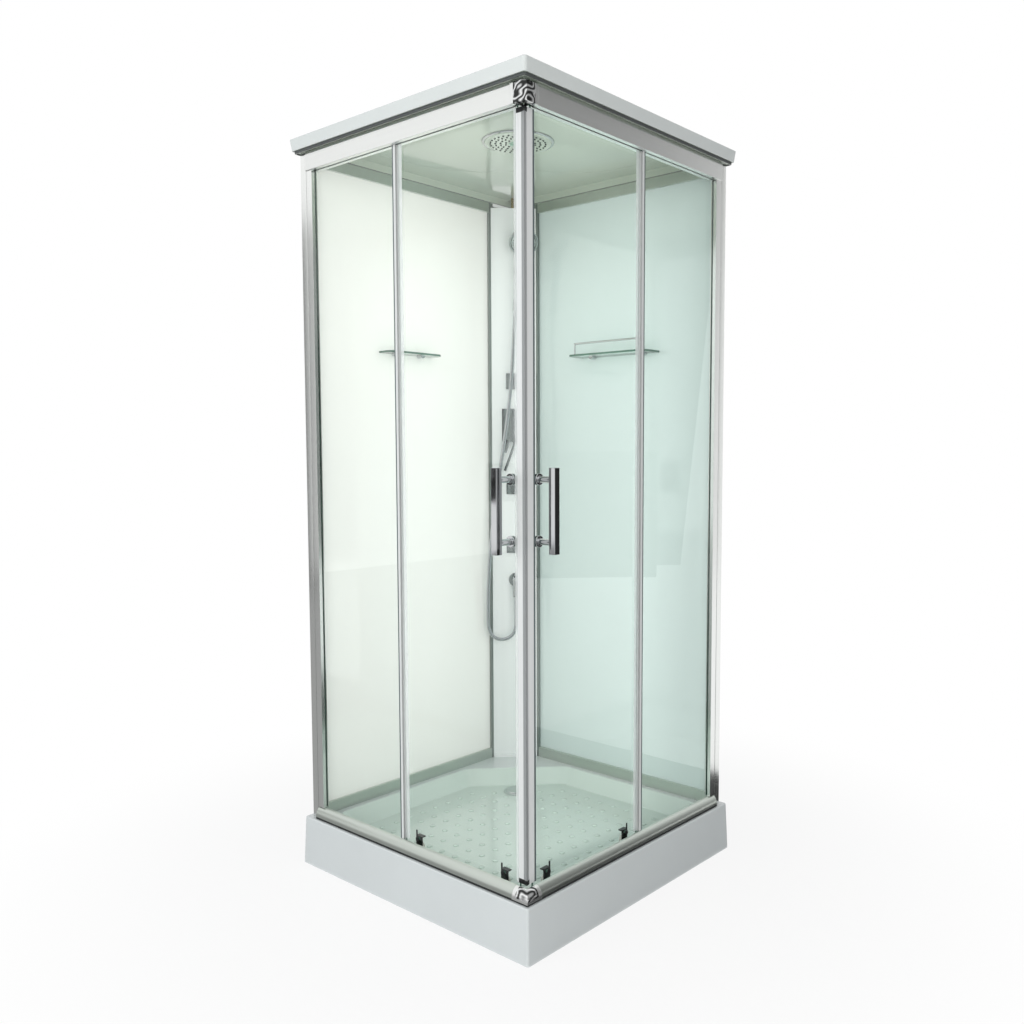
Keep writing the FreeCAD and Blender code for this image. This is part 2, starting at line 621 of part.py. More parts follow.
def make_connectors():
    """Cast corner pieces that join the two front faces."""
    face = "%s + connector_proud" % HEAD_FACE
    inner = "%s - connector_wall" % face
    turn = "%s - connector_round" % face
    shell = prism("connector_head", "XY", HEAD_FOOT, "head_rise - connector_drop",
                  [(RAIL_END, less(face)), (turn, less(face), "connector_round"),
                   (face, less(turn)), (face, less(RAIL_END)), (inner, less(RAIL_END)),
                   (inner, less(inner)), (RAIL_END, less(inner))])
    low = "%s + head_slot + cavity_wall + tongue_play" % HEAD_FOOT
    tongue = box("connector_tongue", ("%s - tongue_length" % RAIL_END, RAIL_END),
                 ("-(%s - cavity_wall - tongue_play)" % HEAD_FACE,
                  "-(%s + cavity_wall + tongue_play)" % SLOT_BACK),
                 (low, "post_top - head_round"))
    other = mirror("connector_tongue_right", tongue)
    finish(join("corner_connector_top", [shell, tongue, other]))
    out = "%s + connector_proud" % TOE
    back = "%s + rail_lip" % SLOT_OUT
    foot = "tray_height + toe_plate + connector_foot"
    leg = prism("connector_leg_bar", "YZ", RAIL_END, "tray_half - " + RAIL_END,
                [(less(out), foot), (less(back), foot), (less(back), RAIL_TOP, "leg_curve"),
                 (less(out), "tray_height + toe_height")])
    beyond = prism("connector_mitre", "XY", "0", "post_top",
                   [(RAIL_END, less(RAIL_END)),
                    ("tray_half * 2 - %s" % RAIL_END, "%s - tray_half * 2" % RAIL_END),
                    ("tray_half * 2 - %s" % RAIL_END, less(RAIL_END))])
    left = cut("connector_leg", leg, [beyond])
    finish(join("corner_connector_bottom", [left, mirror("connector_leg_right", left)]))


def make_fixed_glass():
    """Fixed pane and the strip on its free edge."""
    left = "-(%s + jamb_groove - glass_play)" % JAMB_IN
    bottom = "tray_height + slot_floor"
    top = "%s + head_slot - glass_play" % HEAD_FOOT
    pane = box("fixed_glass_left", (left, "-strip_edge"), (less(FIXED_OUT), less(FIXED_IN)),
               (bottom, top))
    pair(pane, "fixed_glass_right")
    start = "-strip_edge - strip_clip"
    edge = "-strip_edge"
    web = "-strip_edge + strip_web"
    tip = "%s + fin_reach" % web
    front = "-(%s + strip_web)" % FIXED_OUT
    back = "-(%s - strip_web)" % FIXED_IN
    fin_out = "-(%s + fin_gap + strip_fin)" % DOOR_OUT
    fin_in = "-(%s + fin_gap)" % DOOR_OUT
    strip = prism("overlap_seal_left", "XY", RAIL_TOP + " + seal_end",
                  "%s - %s - seal_end * 2" % (HEAD_FOOT, RAIL_TOP),
                  [(start, front), (web, front), (web, fin_out), (tip, fin_out), (tip, fin_in),
                   (edge, fin_in), (edge, back), (start, back), (start, less(FIXED_IN)),
                   (edge, less(FIXED_IN)), (edge, less(FIXED_OUT)), (start, less(FIXED_OUT))])
    pair(strip, "overlap_seal_right")


TOP_AXLE = "(%s + ledge_lift + ledge_wall + head_rib_rise + top_groove + wheel_play)" % HEAD_FOOT
LOW_AXLE = "(tray_height + rail_floor + rib_rise + foot_groove + wheel_play)"
BUTTON = "(%s + button_rise)" % RAIL_TOP
DOOR_FOOT = "(tray_height + door_foot)"
DOOR_TOP = "(post_top - door_head)"
ROLLERS = ("(roller_far - door_start)", "(%s - roller_near)" % DOOR_END)


def make_door():
    """Sliding pane, the magnet strip on its meeting edge, and its handle."""
    handle = "tray_half - handle_setback"
    rings = []
    for place in ROLLERS:
        rings.append((place, TOP_AXLE, "hub_bolt + bolt_play"))
        rings.append((place, BUTTON, "axle + bolt_play"))
    for height in MOUNTS:
        rings.append((handle, height, "handle_bolt + bolt_play"))
    pane = prism("door_glass_left", "XZ", DOOR_IN, "glass",
                 rectangle("-door_start", DOOR_FOOT, DOOR_END, DOOR_TOP), rings=rings)
    pair(pane, "door_glass_right")
    start = "%s - seal_bite" % DOOR_END
    outer = "%s + seal_wall" % DOOR_OUT
    inner = "%s - seal_wall" % DOOR_IN
    tip = "%s + seal_lip" % DOOR_OUT
    bend = "%s + seal_reach" % DOOR_END
    seal = prism("magnet_seal_left", "XY", RAIL_TOP + " + seal_end",
                 "%s - %s - seal_end * 2" % (HEAD_FOOT, RAIL_TOP),
                 [(start, less(outer)), (bend, less(outer)),
                  (tip + " - seal_meeting", less(tip)),
                  (inner + " - seal_meeting", less(inner)), (start, less(inner)),
                  (start, less(DOOR_IN)), (DOOR_END, less(DOOR_IN)),
                  (DOOR_END, less(DOOR_OUT)), (start, less(DOOR_OUT))])
    pair(seal, "magnet_seal_right")
    gap = "%s + collar_thick" % DOOR_OUT
    bar_back = "%s + handle_gap" % DOOR_OUT
    half = "handle_bar / 2"
    pieces = [box("handle_grip", (handle + " - " + half, handle + " + " + half),
                  ("-(%s + handle_bar)" % bar_back, less(bar_back)),
                  (MOUNTS[0] + " - bar_over", MOUNTS[1] + " + bar_over"))]
    for index, height in enumerate(MOUNTS):
        tag = "_%d" % index
        pieces.append(rod("handle_post" + tag, "y", "post_radius", less(bar_back), less(gap),
                          handle, height))
        pieces.append(rod("handle_collar" + tag, "y", "collar_radius", less(gap),
                          less(DOOR_OUT), handle, height))
        pieces.append(rod("handle_bolt" + tag, "y", "handle_bolt", less(DOOR_OUT),
                          less(DOOR_IN), handle, height))
        pieces.append(rod("handle_disc" + tag, "y", "collar_radius", less(DOOR_IN),
                          "-(%s - collar_thick)" % DOOR_IN, handle, height))
    pair(join("door_handle_left", pieces), "door_handle_right")


def wheel(name, place, height, flange, groove):
    """A grooved wheel that runs on a rib, turning about an axis square to the glass."""
    bore = "axle + axle_play"
    middle = less(WHEEL)
    low = middle + " - wheel_width / 2"
    high = middle + " + wheel_width / 2"
    dip_low = middle + " - groove_width / 2"
    dip_high = middle + " + groove_width / 2"
    body = revolve(name, "YZ", "H_Axis",
                   [(low, bore), (high, bore), (high, flange), (dip_high, flange),
                    (dip_high, groove), (dip_low, groove), (dip_low, flange), (low, flange)])
    put(body, place, "0", height)
    return body


def make_rollers():
    """Two hanging wheels and two guide wheels for each door, with what carries them."""
    carriers = []
    near_side = "-(%s + wheel_width / 2 + wheel_play)" % WHEEL
    far_side = "-(%s - wheel_width / 2 - wheel_play)" % WHEEL
    for place, word in zip(ROLLERS, ("far", "near")):
        pair(wheel("top_wheel_%s_left" % word, place, TOP_AXLE, "top_flange", "top_groove"),
             "top_wheel_%s_right" % word)
        pair(wheel("guide_wheel_%s_left" % word, place, LOW_AXLE, "foot_flange", "foot_groove"),
             "guide_wheel_%s_right" % word)
        carriers.append(join("hanger_" + word, [
            rod("hanger_cap_" + word, "y", "cap_radius", "-(%s + cap_thick)" % DOOR_OUT,
                less(DOOR_OUT), place, TOP_AXLE),
            rod("hanger_bolt_" + word, "y", "hub_bolt", less(DOOR_OUT), less(DOOR_IN),
                place, TOP_AXLE),
            rod("hanger_collar_" + word, "y", "hub_radius", less(DOOR_IN), near_side,
                place, TOP_AXLE),
            rod("hanger_axle_" + word, "y", "axle", near_side, far_side, place, TOP_AXLE),
            rod("hanger_washer_" + word, "y", "washer", far_side,
                far_side + " + washer_thick", place, TOP_AXLE),
        ]))
        left = "%s - carrier_half" % place
        right = "%s + carrier_half" % place
        plate_back = "-(%s - carrier_thick)" % DOOR_IN
        head = "%s + carrier_rise" % RAIL_TOP
        inside = far_side + " + washer_thick"
        carriers.append(join("carrier_" + word, [
            box("carrier_plate_" + word, (left, right), (less(DOOR_IN), plate_back),
                (DOOR_FOOT + " + carrier_foot", head)),
            box("carrier_horn_" + word, (left, left + " + horn_width"),
                (less(DOOR_IN), plate_back), (head, head + " + horn_rise")),
            box("carrier_roof_" + word, (left, right), (plate_back, inside),
                (head + " - carrier_hood", head)),
            rod("carrier_axle_" + word, "y", "axle", plate_back, far_side, place, LOW_AXLE),
            rod("carrier_washer_" + word, "y", "washer", far_side,
                far_side + " + washer_thick", place, LOW_AXLE),
            rod("carrier_hub_" + word, "y", "hub_radius", plate_back, near_side, place,
                LOW_AXLE),
            rod("carrier_bolt_" + word, "y", "axle", less(DOOR_OUT), less(DOOR_IN), place,
                BUTTON),
            rod("carrier_button_" + word, "y", "button_radius",
                "-(%s + button_thick)" % DOOR_OUT, less(DOOR_OUT), place, BUTTON),
        ]))
    pair(group("roller_mounts_left", carriers), "roller_mounts_right")


QUARTER = Rotation(AXES["z"], 45)


def on_column(item, across="0", depth="0", height="0", turn=None):
    """Place an object in the column's frame: across, behind its face and up."""
    return put(item, "(%s - (%s) - %s) / sqrt(2)" % (across, depth, COLUMN),
               "(%s + (%s) + %s) / sqrt(2)" % (across, depth, COLUMN), height,
               QUARTER.multiply(turn or Rotation()))


def make_column():
    """Flat column across the rear corner, with holes for what is fixed to it."""
    back = "column_half - column_thick"
    panel = prism("column_sheet", "XY", "tray_height", "post_top - column_gap - tray_height",
                  [("-column_half", "0"), ("column_half", "0"), (back, "column_thick"),
                   (less(back), "column_thick")])
    lip = box("column_foot_lip", ("-column_half + column_lip", "column_half - column_lip"),
              ("-column_lip", "0"), ("tray_height", "tray_height + lip_rise"))
    hole = "spigot + spigot_play"
    holes = [rod("column_hole_%d" % index, "y", hole, "-column_lip", "column_thick", "0", height)
             for index, height in enumerate(JETS)]
    holes.append(rod("column_hole_mixer", "y", hole, "-column_lip", "column_thick",
                     "lever_place", "hub_height"))
    holes.append(rod("column_hole_hose", "y", hole, "-column_lip", "column_thick",
                     "outlet_place", OUTLET))
    finish(on_column(cut("column_panel", join("column_outer", [panel, lip]), holes)))


def make_jets():
    """Three square body jets."""
    jets = []
    for index, height in enumerate(JETS):
        tag = "_%d" % index
        jets.append(join("jet" + tag, [
            box("jet_plate" + tag, ("-jet_half", "jet_half"), ("-jet_thick", "0"),
                (height + " - jet_half", height + " + jet_half")),
            rod("jet_boss" + tag, "y", "jet_boss", "-jet_thick - jet_boss_rise", "-jet_thick",
                "0", height),
            rod("jet_spigot" + tag, "y", "spigot", "0", "spigot_length", "0", height),
        ]))
    finish(on_column(group("body_jets", jets)))


def make_mixer():
    """Mixer plate with its three raised bands, and the two levers."""
    band = ("-plate_thick - block_thick", "-plate_thick")
    across = ("-plate_left + block_inset", "plate_right - block_inset")
    foot = "hub_height - plate_drop"
    head = "hub_height + plate_rise"
    low = foot + " + block_inset / 2"
    mid = "%s + low_block + block_gap * 2" % low
    high = "%s + mid_block + block_gap" % mid
    solid = join("mixer_outer", [
        box("mixer_plate", ("-plate_left", "plate_right"), ("-plate_thick", "0"),
            (foot, head)),
        box("mixer_low", across, band, (low, low + " + low_block")),
        box("mixer_mid", across, band, (mid, mid + " + mid_block")),
        box("mixer_high", across, band, (high, head + " - block_inset")),
        rod("mixer_spigot", "y", "spigot", "0", "spigot_length", "lever_place", "hub_height"),
    ])
    bore = "spindle + axle_play"
    depth = "-plate_thick - block_thick + spindle_length + lever_play"
    bores = [rod("mixer_bore_" + word, "y", bore, band[0], depth, place, "hub_height")
             for word, place in (("lever", "lever_place"), ("diverter", "diverter_place"))]
    finish(on_column(cut("mixer_body", solid, bores)))
    front = "-plate_thick - block_thick - lever_play"
    slant = Rotation(AXES["y"], value("lever_slant"))
    hub_front = front + " - lever_hub_depth"
    lever = join("mixer_lever", [
        rod("lever_hub", "y", "lever_hub", hub_front, front),
        rod("lever_spindle", "y", "spindle", front, front + " + spindle_length"),
        box("lever_arm", ("-lever_width / 2", "lever_width / 2"),
            (hub_front, hub_front + " + lever_thick"), ("-lever_length", "0")),
    ])
    finish(on_column(lever, "lever_place", "0", "hub_height", slant))
    hub_front = front + " - diverter_depth"
    diverter = join("diverter_lever", [
        rod("diverter_hub", "y", "diverter_hub", hub_front, front),
        rod("diverter_spindle", "y", "spindle", front, front + " + spindle_length"),
        box("diverter_arm", ("-diverter_width / 2", "diverter_width / 2"),
            (hub_front, front), ("-diverter_length", "0")),
    ])
    finish(on_column(diverter, "diverter_place", "0", "hub_height", slant))


def make_outlet():
    """Elbow with a flange and a nut, where the hose leaves the column."""
    elbow = join("hose_outlet", [
        rod("outlet_flange", "y", "rose_radius", "-rose_thick", "0", "outlet_place", OUTLET),
        rod("outlet_arm", "y", "elbow_radius", "-elbow_reach", "0", "outlet_place", OUTLET),
        rod("outlet_drop", "z", "elbow_radius", NUT_END, OUTLET, "outlet_place", "-elbow_reach"),
        rod("outlet_nut", "z", "nut_radius", NUT_END, NUT_END + " + nut_length",
            "outlet_place", "-elbow_reach"),
        rod("outlet_spigot", "y", "spigot", "0", "spigot_length", "outlet_place", OUTLET),
    ])
    elbow_ball = doc.addObject("Part::Sphere", "outlet_ball")
    bind(elbow_ball, Radius="elbow_radius")
    put(elbow_ball, "outlet_place", "-elbow_reach", OUTLET)
    elbow.Shapes = elbow.Shapes + [elbow_ball]
    finish(on_column(elbow))


def hand_axis():
    """Direction of the handset's handle in the column's frame."""
    return Vector(value("hand_lean"), -value("hand_tilt"), value("hand_rise"))


def along_hand(name, kind, distance, **sizes):
    """A turned solid on the handset's axis, at a distance above the handle's foot."""
    item = doc.addObject(kind, name)
    bind(item, **sizes)
    reach = "sqrt(hand_lean ^ 2 + hand_tilt ^ 2 + hand_rise ^ 2)"
    put(item, "hand_place + hand_lean * (%s) / %s" % (distance, reach),
        "-hand_reach - hand_tilt * (%s) / %s" % (distance, reach),
        "hand_foot + hand_rise * (%s) / %s" % (distance, reach),
        Rotation(AXES["z"], hand_axis()))
    return item


def make_handset():
    """Handset with a round head, and the holder it lifts out of."""
    reach = "sqrt(hand_lean ^ 2 + hand_tilt ^ 2 + hand_rise ^ 2)"
    handle = along_hand("hand_handle", "Part::Cone", "0", Radius1="hand_low_radius",
                        Radius2="hand_top_radius", Height=reach)
    nut = along_hand("hand_nut", "Part::Cylinder", "-hand_nut_length",
                     Radius="hand_nut_radius", Height="hand_nut_length")
    head = doc.addObject("Part::Cylinder", "hand_head")
    bind(head, Radius="head_radius", Height="head_thick")
    half = "head_thick / (2 * sqrt(2))"
    put(head, "hand_place + hand_lean", "-hand_reach - hand_tilt + %s" % half,
        "hand_foot + hand_rise + %s" % half, Rotation(AXES["z"], Vector(0, -1, -1)))
    finish(on_column(join("handset", [handle, nut, head])))
    ring_out = along_hand("holder_ring", "Part::Cylinder", "holder_low",
                          Radius="holder_bore + holder_wall", Height="holder_height")
    bore = along_hand("holder_bore_tool", "Part::Cylinder", "holder_low - holder_height",
                      Radius="holder_bore", Height="holder_height * 3")
    middle = "(holder_low + holder_height / 2) / %s" % reach
    place = "hand_place + hand_lean * %s" % middle
    height = "hand_foot + hand_rise * %s" % middle
    start = "-hand_reach - hand_tilt * %s + holder_bore" % middle
    arm = rod("holder_arm_rod", "y", "holder_arm", start, "0", place, height)
    flange = rod("holder_plate", "y", "holder_flange", "-holder_flange_thick", "0", place,
                 height)
    finish(on_column(cut("handset_holder", join("holder_outer", [ring_out, arm, flange]),
                         [bore])))


# The hose's route in the column's frame, from the handset's nut to the outlet's nut.
HOSE_ROUTE = (
    (5.94, -46.46, 1672.15), (3.33, -44.5, 1649.5), (0.6, -45.6, 1607.0), (-3.5, -49.5, 1530.0),
    (-11.5, -54.0, 1417.0), (-27.0, -57.0, 1283.0), (-49.0, -57.5, 1145.0),
    (-70.0, -55.5, 1003.0), (-84.5, -51.0, 865.0), (-91.0, -45.5, 745.0),
    (-92.5, -40.0, 652.0), (-91.5, -36.0, 588.0), (-63.5, -33.0, 560.0), (-24.0, -31.0, 560.5),
    (3.2, -30.4, 589.0), (4.0, -30.0, 648.0), (4.0, -30.0, 706.95),
)
RIBS = 200
# How much of the shorter run beside a corner its arc takes.
ARC_SHARE = 0.45
# Where a rib leaves the valley, reaches its crest, leaves it and is back, in its pitch.
RIB_SHARES = (0, 0.25, 0.65, 0.9)


def hose_path(points):
    """Straight runs joined by tangent arcs, as large as the runs allow."""
    pieces = []
    radii = []
    last = points[0]
    for before, corner, after in zip(points, points[1:], points[2:]):
        arrive = corner - before
        leave = after - corner
        shorter = min(arrive.Length, leave.Length)
        half_turn = arrive.getAngle(leave) / 2
        reach = ARC_SHARE * shorter
        radii.append(reach / math.tan(half_turn))
        start = corner - arrive.normalize() * reach
        end = corner + leave.normalize() * reach
        inward = (start + end) * 0.5 - corner
        middle = corner + inward.normalize() * (
            radii[-1] / math.cos(half_turn) - radii[-1])
        pieces.append(Part.LineSegment(last, start).toShape())
        pieces.append(Part.Arc(start, middle, end).toShape())
        last = end
    pieces.append(Part.LineSegment(last, points[-1]).toShape())
    return Part.Wire(pieces), radii


def frame_along(wire):
    """A function giving the point and direction at a length along the wire."""
    edges = wire.OrderedEdges
    ends = [0.0]
    for edge in edges:
        ends.append(ends[-1] + edge.Length)

    def at(length):
        index = 0
        while index < len(edges) - 1 and length > ends[index + 1]:
            index += 1
        along = min(length - ends[index], edges[index].Length)
        parameter = edges[index].getParameterByLength(along)
        point = edges[index].valueAt(parameter)
        return point, edges[index].tangentAt(parameter)
    return at, ends[-1]


def circle_at(point, way, side, radius):
    """A circle square to the way, its seam towards the side."""
    steady = side - way * side.dot(way)
    placed = Placement(point, Rotation(steady, way.cross(steady), way, "XZY"))
    ring_shape = Part.Circle(Vector(0, 0, 0), AXES["z"], radius).toShape()
    ring_shape.Placement = placed
    return Part.Wire([ring_shape])


def make_hose():
    """Ribbed metal hose between the handset and the outlet, with its bore."""
    points = [Vector(*spot) for spot in HOSE_ROUTE]
    wire, radii = hose_path(points)
    at, length = frame_along(wire)
    side = AXES["y"]
    crest = value("hose_radius")
    valley = value("hose_valley")
    bore = value("hose_bore")
    pitch = length / RIBS
    rings = []
    for index in range(RIBS):
        start = index * pitch
        for share, radius in zip(RIB_SHARES, (valley, crest, crest, valley)):
            point, way = at(start + share * pitch)
            rings.append(circle_at(point, way, side, radius))
    point, way = at(length)
    rings.append(circle_at(point, way, side, valley))
    lining = []
    steps = RIBS // 2
    for index in range(steps + 1):
        point, way = at(length * index / steps)
        lining.append(circle_at(point, way, side, bore))
    solid = Part.makeLoft(rings, True, True).cut(Part.makeLoft(lining, True, True))
    item = doc.addObject("Part::Feature", "shower_hose")
    item.Label = "shower_hose"
    item.Shape = solid
    rise, top, leave, back = RIB_SHARES
    slope = (crest ** 2 + crest * valley + valley ** 2) / 3
    mean = (top - rise + back - leave) * slope
    mean += (leave - top) * crest ** 2 + (1 - back) * valley ** 2
    area = math.pi * (mean - bore ** 2)
    print("hose length", round(length, 1), "least radius", round(min(radii), 1),
          "diameters", round(min(radii) / (2 * crest), 2))
    print("hose radii", [round(radius) for radius in radii])
    print("hose volume over section times length", round(solid.Volume / (area * length), 3))
    print("least gap between crests", round(pitch * (1 - leave + top), 2))
    finish(on_column(item))


def make_pipes():
    """Pipes behind the column, with threaded inlets, and the pipe over the ceiling."""
    axis = ("0", "pipe_depth")
    stub_start = "spigot_length"
    top = "post_top + pipe_rise"
    pieces = [rod("riser", "z", "pipe_radius", OUTLET + " - pipe_radius", top, *axis)]
    for index, (place, height) in enumerate(
            [("0", jet) for jet in JETS] + [("outlet_place", OUTLET)]):
        pieces.append(rod("stub_%d" % index, "y", "stub_radius", stub_start, "pipe_depth",
                          place, height))
    half = "valve_rise / 2"
    valve = ("spigot_length", "spigot_length + valve_depth")
    pieces.append(box("valve", ("-valve_half", "valve_half"), valve,
                      ("hub_height - " + half, "hub_height + " + half)))
    inlet = "hub_height - inlet_drop"
    for word, place in (("hot", "-inlet_place"), ("cold", "inlet_place")):
        pieces.append(rod("inlet_pipe_" + word, "z", "pipe_radius", inlet,
                          "hub_height", place, "pipe_depth"))
        pieces.append(rod("inlet_thread_" + word, "z", "thread_radius", inlet,
                          inlet + " + thread_length", place, "pipe_depth"))
    finish(on_column(join("supply_pipes", pieces)))
    far = "-(%s + rain_place * sqrt(2)) + nipple_radius" % COLUMN
    near = "pipe_depth - pipe_radius"
    height = top + " - rain_pipe"
    finish(on_column(join("rain_pipe", [
        rod("rain_pipe_run", "y", "rain_pipe", far, near, "0", height),
        rod("rain_pipe_collar", "y", "rain_collar", far, far + " + rain_collar * 2", "0",
            height),
    ])))


def make_roof():
    """One moulded sheet: lip over the rails, flared fascia, riser and sunk ceiling."""
    corner = "roof_corner"
    lip = "tray_half - lip_setback"
    foot = "post_top + roof_foot"
    low = "tray_half - fascia_setback"
    riser = "tray_half - riser_setback"
    ceiling = "post_top + ceiling_rise"
    crown = foot + " + fascia_rise"
    skirt = prism("roof_skirt", "XY", "post_top - lip_drop", "lip_drop + roof_ledge",
                  rounded(lip, corner))
    under = prism("roof_under", "XY", "post_top - lip_drop", "lip_drop",
                  rounded(lip + " - lip_wall", corner))
    fascia = loft("roof_fascia", foot, rounded(low, corner), crown,
                  rounded("tray_half", corner))
    hollow = loft("roof_fascia_inside", foot, rounded(low + " - fascia_wall", corner), crown,
                  rounded("tray_half - fascia_wall", corner))
    wall = prism("roof_riser", "XY", "post_top", "ceiling_rise + roof_wall",
                 rounded(riser + " + roof_wall", corner))
    shell = join("roof_outer", [cut("roof_flange", skirt, [under]),
                                cut("roof_band", fascia, [hollow]), wall])
    inside = prism("roof_inside", "XY", "post_top - lip_drop", "lip_drop + ceiling_rise",
                   rounded(riser, corner))
    nipple = rod("roof_nipple_hole", "z", "nipple_radius + bolt_play", ceiling,
                 ceiling + " + roof_wall", "rain_place", "-rain_place")
    back = "(%s + pipe_depth) / sqrt(2)" % COLUMN
    pipe = rod("roof_pipe_hole", "z", "pipe_radius + bolt_play", ceiling,
               ceiling + " + roof_wall", less(back), back)
    finish(cut("roof", shell, [inside, nipple, pipe]))
    spot = ("rain_place", "-rain_place")
    finish(join("rain_shower", [
        rod("rain_disc", "z", "rain_radius", ceiling + " - rain_thick", ceiling, *spot),
        rod("rain_nipple", "z", "nipple_radius", ceiling, ceiling + " + nipple_length", *spot),
        rod("rain_face", "z", "rain_boss", ceiling + " - rain_thick - rain_boss_rise",
            ceiling + " - rain_thick", *spot),
    ]))


def shelf(name, low, length, height, depth):
    """A glass shelf with two rounded free corners, along the left wall."""
    back = less(WALL_GLASS)
    front = "%s + %s" % (back, depth)
    end = "%s + %s" % (low, length)
    turn = "%s - shelf_corner" % front
    return prism(name, "XY", height, "shelf_thick",
                 [(back, low), (turn, low, "shelf_corner"), (front, low + " + shelf_corner"),
                  (front, end + " - shelf_corner", "shelf_corner"), (turn, end), (back, end)])


def brackets(tag, low, length, height):
    """Two clamps under and over a shelf at the wall."""
    pieces = []
    middle = "%s + shelf_thick / 2" % height
    back = less(WALL_GLASS)
    for index, place in enumerate((low + " + bracket_inset",
                                   "%s + %s - bracket_inset" % (low, length))):
        name = "clamp_%s_%d" % (tag, index)
        knob = rod(name + "_rod", "x", "bracket_radius", back, back + " + bracket_length",
                   place, middle)
        slit = box(name + "_slit", (back, back + " + bracket_length"),
                   (place + " - bracket_slit", place + " + bracket_slit"),
                   (height, height + " + shelf_thick"))
        pieces.append(cut(name, knob, [slit]))
    return pieces


def make_shelves():
    """Two glass shelves, their wall clamps, and the guard rail of the right one."""
    left = ("left_shelf_low", "left_shelf_length", "left_shelf_height")
    finish(shelf("shelf_glass_left", *left, "left_shelf_depth"))
    # The right shelf is drawn along the left wall and mirrored to the right one.
    low = "-right_shelf_low - right_shelf_length"
    right = (low, "right_shelf_length", "right_shelf_height")
    finish(mirror("shelf_glass_right", shelf("shelf_drawn", *right, "right_shelf_depth")))
    spot = "-%s + right_shelf_depth - rail_inset" % WALL_GLASS
    top = "right_shelf_height + shelf_thick"
    ends = (low + " + rail_post_inset", "-right_shelf_low - rail_post_inset")
    pieces = [rod("guard_bar", "y", "rail_bar", ends[0] + " - rail_bar", ends[1] + " + rail_bar",
                  spot, top + " + rail_height")]
    for index, place in enumerate(ends):
        pieces.append(rod("guard_post_%d" % index, "z", "rail_bar", top,
                          top + " + rail_height", spot, place))
    drawn = group("right_fittings", brackets("right", *right) + [join("guard_rail", pieces)])
    both = [group("left_fittings", brackets("left", *left)),
            mirror("right_fittings_placed", drawn)]
    finish(group("shelf_fittings", both))


make_tray()
make_frame()
make_drain()
make_walls()
make_jamb()
make_bottom_rail()
make_top_rail()
make_connectors()
make_fixed_glass()
make_door()
make_rollers()
make_column()
make_jets()
make_mixer()
make_outlet()
make_handset()
make_hose()
make_pipes()
make_roof()
make_shelves()
doc.recompute()

for item in doc.Objects:
    if "Invalid" in item.State or "Error" in item.State:
        raise RuntimeError("%s failed: %s" % (item.Label, item.State))
for item in FINISHED:
    if item.Shape.isNull() or not item.Shape.isValid() or not item.Shape.Solids:
        raise RuntimeError("%s has no valid solid" % item.Label)
for item in FINISHED:
    item.Shape.exportStep("parts/%s.step" % item.Label)
print(len(FINISHED), "sub-parts")
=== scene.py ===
"""The look of a corner shower enclosure: glass, rails, tray, roof, column and fittings, in metres."""
import bmesh
import json
import math
import bpy
from mathutils import Matrix, Vector
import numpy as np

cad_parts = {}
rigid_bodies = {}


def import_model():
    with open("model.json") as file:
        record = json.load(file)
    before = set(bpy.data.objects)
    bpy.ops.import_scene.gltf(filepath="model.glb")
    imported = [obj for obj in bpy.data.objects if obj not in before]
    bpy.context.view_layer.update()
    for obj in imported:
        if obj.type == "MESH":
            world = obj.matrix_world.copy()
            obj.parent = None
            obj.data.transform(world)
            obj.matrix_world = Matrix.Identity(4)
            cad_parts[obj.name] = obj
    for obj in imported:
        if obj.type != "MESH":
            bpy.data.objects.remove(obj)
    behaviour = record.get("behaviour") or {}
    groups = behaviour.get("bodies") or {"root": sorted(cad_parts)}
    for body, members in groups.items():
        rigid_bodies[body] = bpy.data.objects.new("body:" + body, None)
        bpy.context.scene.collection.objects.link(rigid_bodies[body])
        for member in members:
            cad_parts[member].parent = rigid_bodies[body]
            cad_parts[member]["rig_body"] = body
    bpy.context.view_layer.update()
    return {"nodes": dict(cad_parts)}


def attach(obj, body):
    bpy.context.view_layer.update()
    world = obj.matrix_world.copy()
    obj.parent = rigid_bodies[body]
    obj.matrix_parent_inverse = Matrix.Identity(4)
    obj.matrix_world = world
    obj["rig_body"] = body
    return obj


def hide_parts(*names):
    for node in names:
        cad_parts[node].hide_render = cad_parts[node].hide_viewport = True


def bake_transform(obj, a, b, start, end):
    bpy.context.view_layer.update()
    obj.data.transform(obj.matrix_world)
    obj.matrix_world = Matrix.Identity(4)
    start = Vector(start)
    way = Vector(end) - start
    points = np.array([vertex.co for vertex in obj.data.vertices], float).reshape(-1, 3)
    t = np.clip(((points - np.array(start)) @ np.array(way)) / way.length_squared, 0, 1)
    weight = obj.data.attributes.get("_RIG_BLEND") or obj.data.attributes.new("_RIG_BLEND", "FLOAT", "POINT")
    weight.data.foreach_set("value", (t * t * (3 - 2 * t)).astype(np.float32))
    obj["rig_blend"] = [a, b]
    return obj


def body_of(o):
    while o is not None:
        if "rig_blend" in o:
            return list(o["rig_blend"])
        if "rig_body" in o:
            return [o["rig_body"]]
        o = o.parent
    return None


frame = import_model()

COLUMN_REACH = 0.497
TURN = math.sqrt(0.5)
COLUMN_FRAME = Matrix((
    (TURN, -TURN, 0, -COLUMN_REACH * TURN),
    (TURN, TURN, 0, COLUMN_REACH * TURN),
    (0, 0, 1, 0),
    (0, 0, 0, 1),
))


def tone(red, green, blue):
    """A paint chip's red, green and blue, 0 to 255, as the light that it returns."""
    chip = []
    for level in (red, green, blue):
        share = level / 255
        chip.append(share / 12.92 if share <= 0.04045 else ((share + 0.055) / 1.055) ** 2.4)
    return (*chip, 1.0)


def shaded(colour, amount):
    """The same colour, lighter or darker by a share."""
    return tuple(min(1.0, level * (1 + amount)) for level in colour[:3]) + (1.0,)


